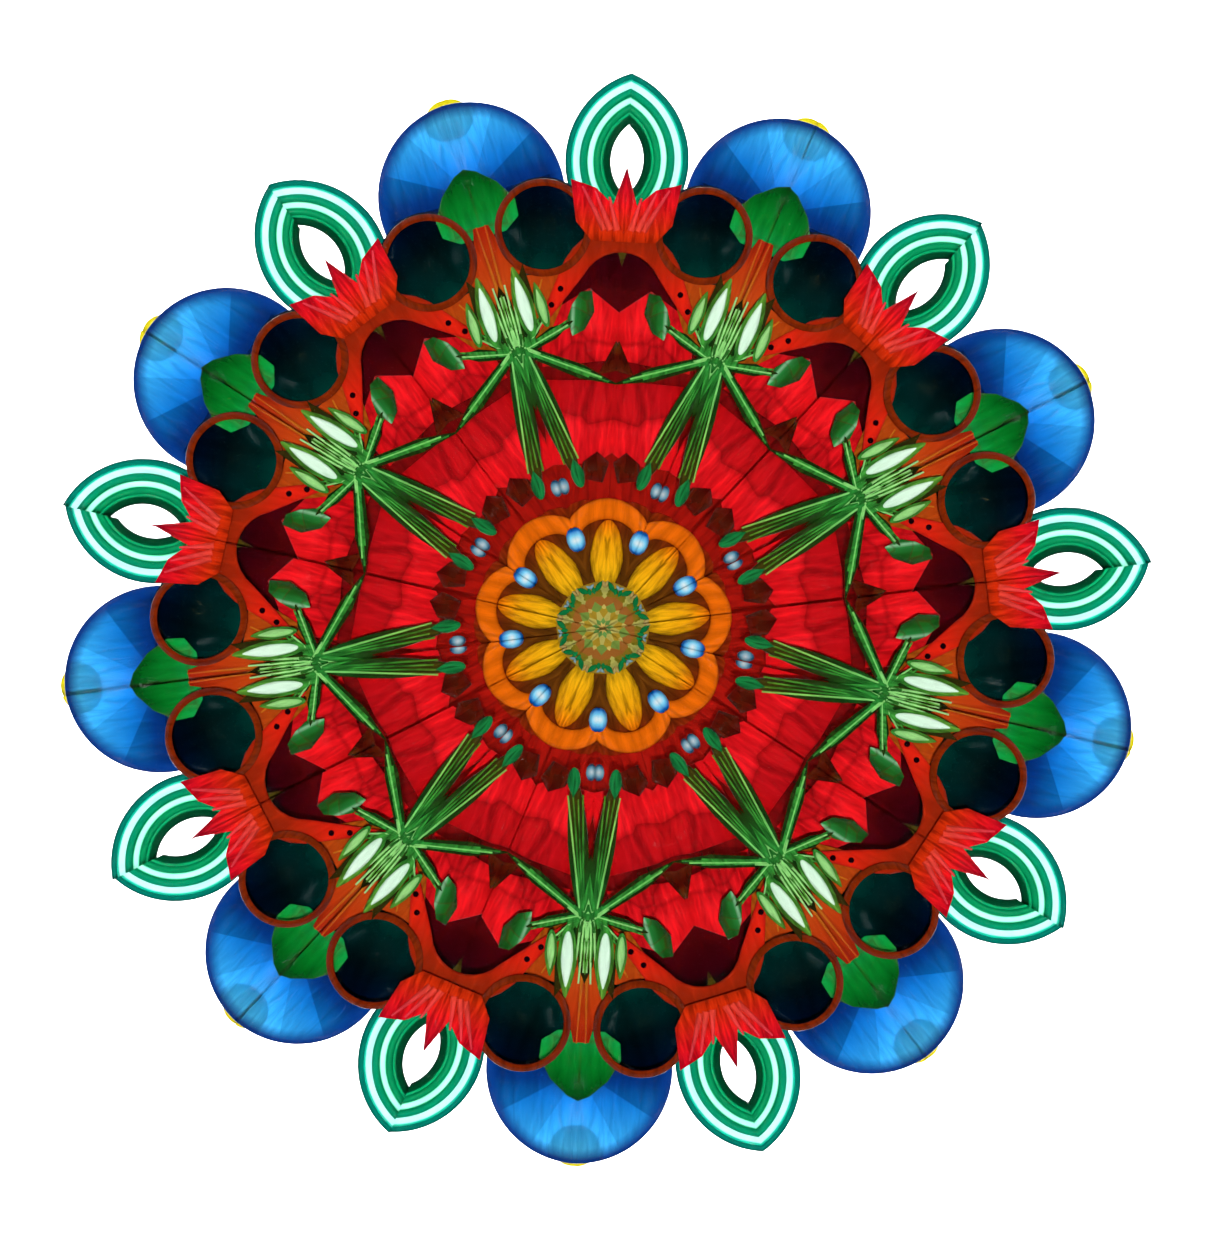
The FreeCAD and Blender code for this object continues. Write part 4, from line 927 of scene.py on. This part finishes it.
for step, point in enumerate(line.points):
    turn = LOBE * (step / STEPS - 2.5)
    swell = abs(math.cos(math.pi * turn / LOBE))
    radius = 5.65 + 1.0 * swell ** 0.7
    spot = seen_at(TEAL_LINE, radius * math.cos(turn), radius * math.sin(turn), front + 0.42 * mm)
    point.co = (*spot, 1)
    point.radius = 0.8 + 0.25 * swell
line.use_endpoint_u = True
line.order_u = 4
line.resolution_u = 4
path.bevel_depth = 0.58 * mm
path.bevel_resolution = 4
path.use_fill_caps = True
bpy.ops.object.convert(target="MESH")
for corner in border.data.vertices:
    corner.co.y = front + 0.42 * mm + 0.62 * (corner.co.y - front - 0.42 * mm)
border.data.materials.clear()
border.data.materials.append(border_glass)
bpy.ops.object.shade_smooth()
raised.append(border)
for lobe in range(-1, 3):
    turn = LOBE * lobe
    start, end = [seen_at(TEAL_LINE, reach * math.cos(turn), reach * math.sin(turn), front + 0.35 * mm)
                  for reach in (1.6, 6.0)]
    raised.append(petal((start + end) / 2, (start - end).normalized(), 4.6 * mm, 1.9 * mm, 0.6 * mm,
                        petal_glass, 0.75))
join_to(plate, raised)
for corner in plate.data.vertices:
    corner.co.y = max(corner.co.y, front)

middle = across_middle("gold_button")
button_glass, tree, shader = new_material("gold_button_glass", Transmission_Weight=0.3, IOR=1.25,
                                          Roughness=0.12)
where = add_node(tree, "TexCoord").outputs["Object"]
cells = add_node(tree, "TexVoronoi", {"Vector": where, "Scale": 1700.0}).outputs["Color"]
tint = add_node(tree, "SeparateColor", {"Color": cells}).outputs["Red"]
tree.links.new(colour_ramp(tree, tint, [
    (0.0, shade(0.48, 0.4, 0.1)), (0.3, shade(0.66, 0.54, 0.16)), (0.5, shade(0.2, 0.55, 0.26)),
    (0.7, shade(0.88, 0.74, 0.38)), (1.0, shade(0.55, 0.3, 0.1))]), shader.inputs["Base Color"])
bits_glass = {}
# The sky chips are painted glints.
for bit, tone in (("olive", (0.6, 0.56, 0.14)), ("leaf_green", (0.08, 0.62, 0.32)),
                  ("pale_gold", (0.98, 0.86, 0.5)), ("sky", (0.75, 0.95, 1.0))):
    bits_glass[bit] = coloured_glass("button_" + bit, middle, TEAL_WAY, 2 * mm, [
        (0.0, shade(*tone)), (1.0, shade(*[0.8 * part for part in tone]))], clear=0.35, dark=0.4)
button = cut_piece("gold_button", "gold_button_set", button_glass)
facet(button, 0.25 * mm, 0.3 * mm, 0.1 * mm)
ease_edges(button, 0.03 * mm)
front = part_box("gold_button")[0].y
bits = []
BITS = ((0.7, 0.08, "pale_gold", 0.5), (1.1, 0.25, "olive", 0.6), (1.45, 0.1, "leaf_green", 0.5),
        (1.6, 0.45, "pale_gold", 0.55), (1.95, 0.2, "olive", 0.7), (2.05, 0.6, "leaf_green", 0.6),
        (2.35, 0.35, "leaf_green", 0.7), (2.3, 0.75, "sky", 0.4), (2.5, 0.08, "pale_gold", 0.45))
for out, off, bit, size in BITS:
    heading = (TEAL_WAY + (0.8 * math.sin(9 * out)) * Vector((1, 0, 0))).normalized()
    bits.append(petal(seen_at(TEAL_LINE, out, off, front + 0.2 * mm), heading, size * mm, 0.45 * size * mm,
                      0.25 * mm, bits_glass[bit]))
join_to(button, bits)

bpy.ops.object.select_all(action="DESELECT")
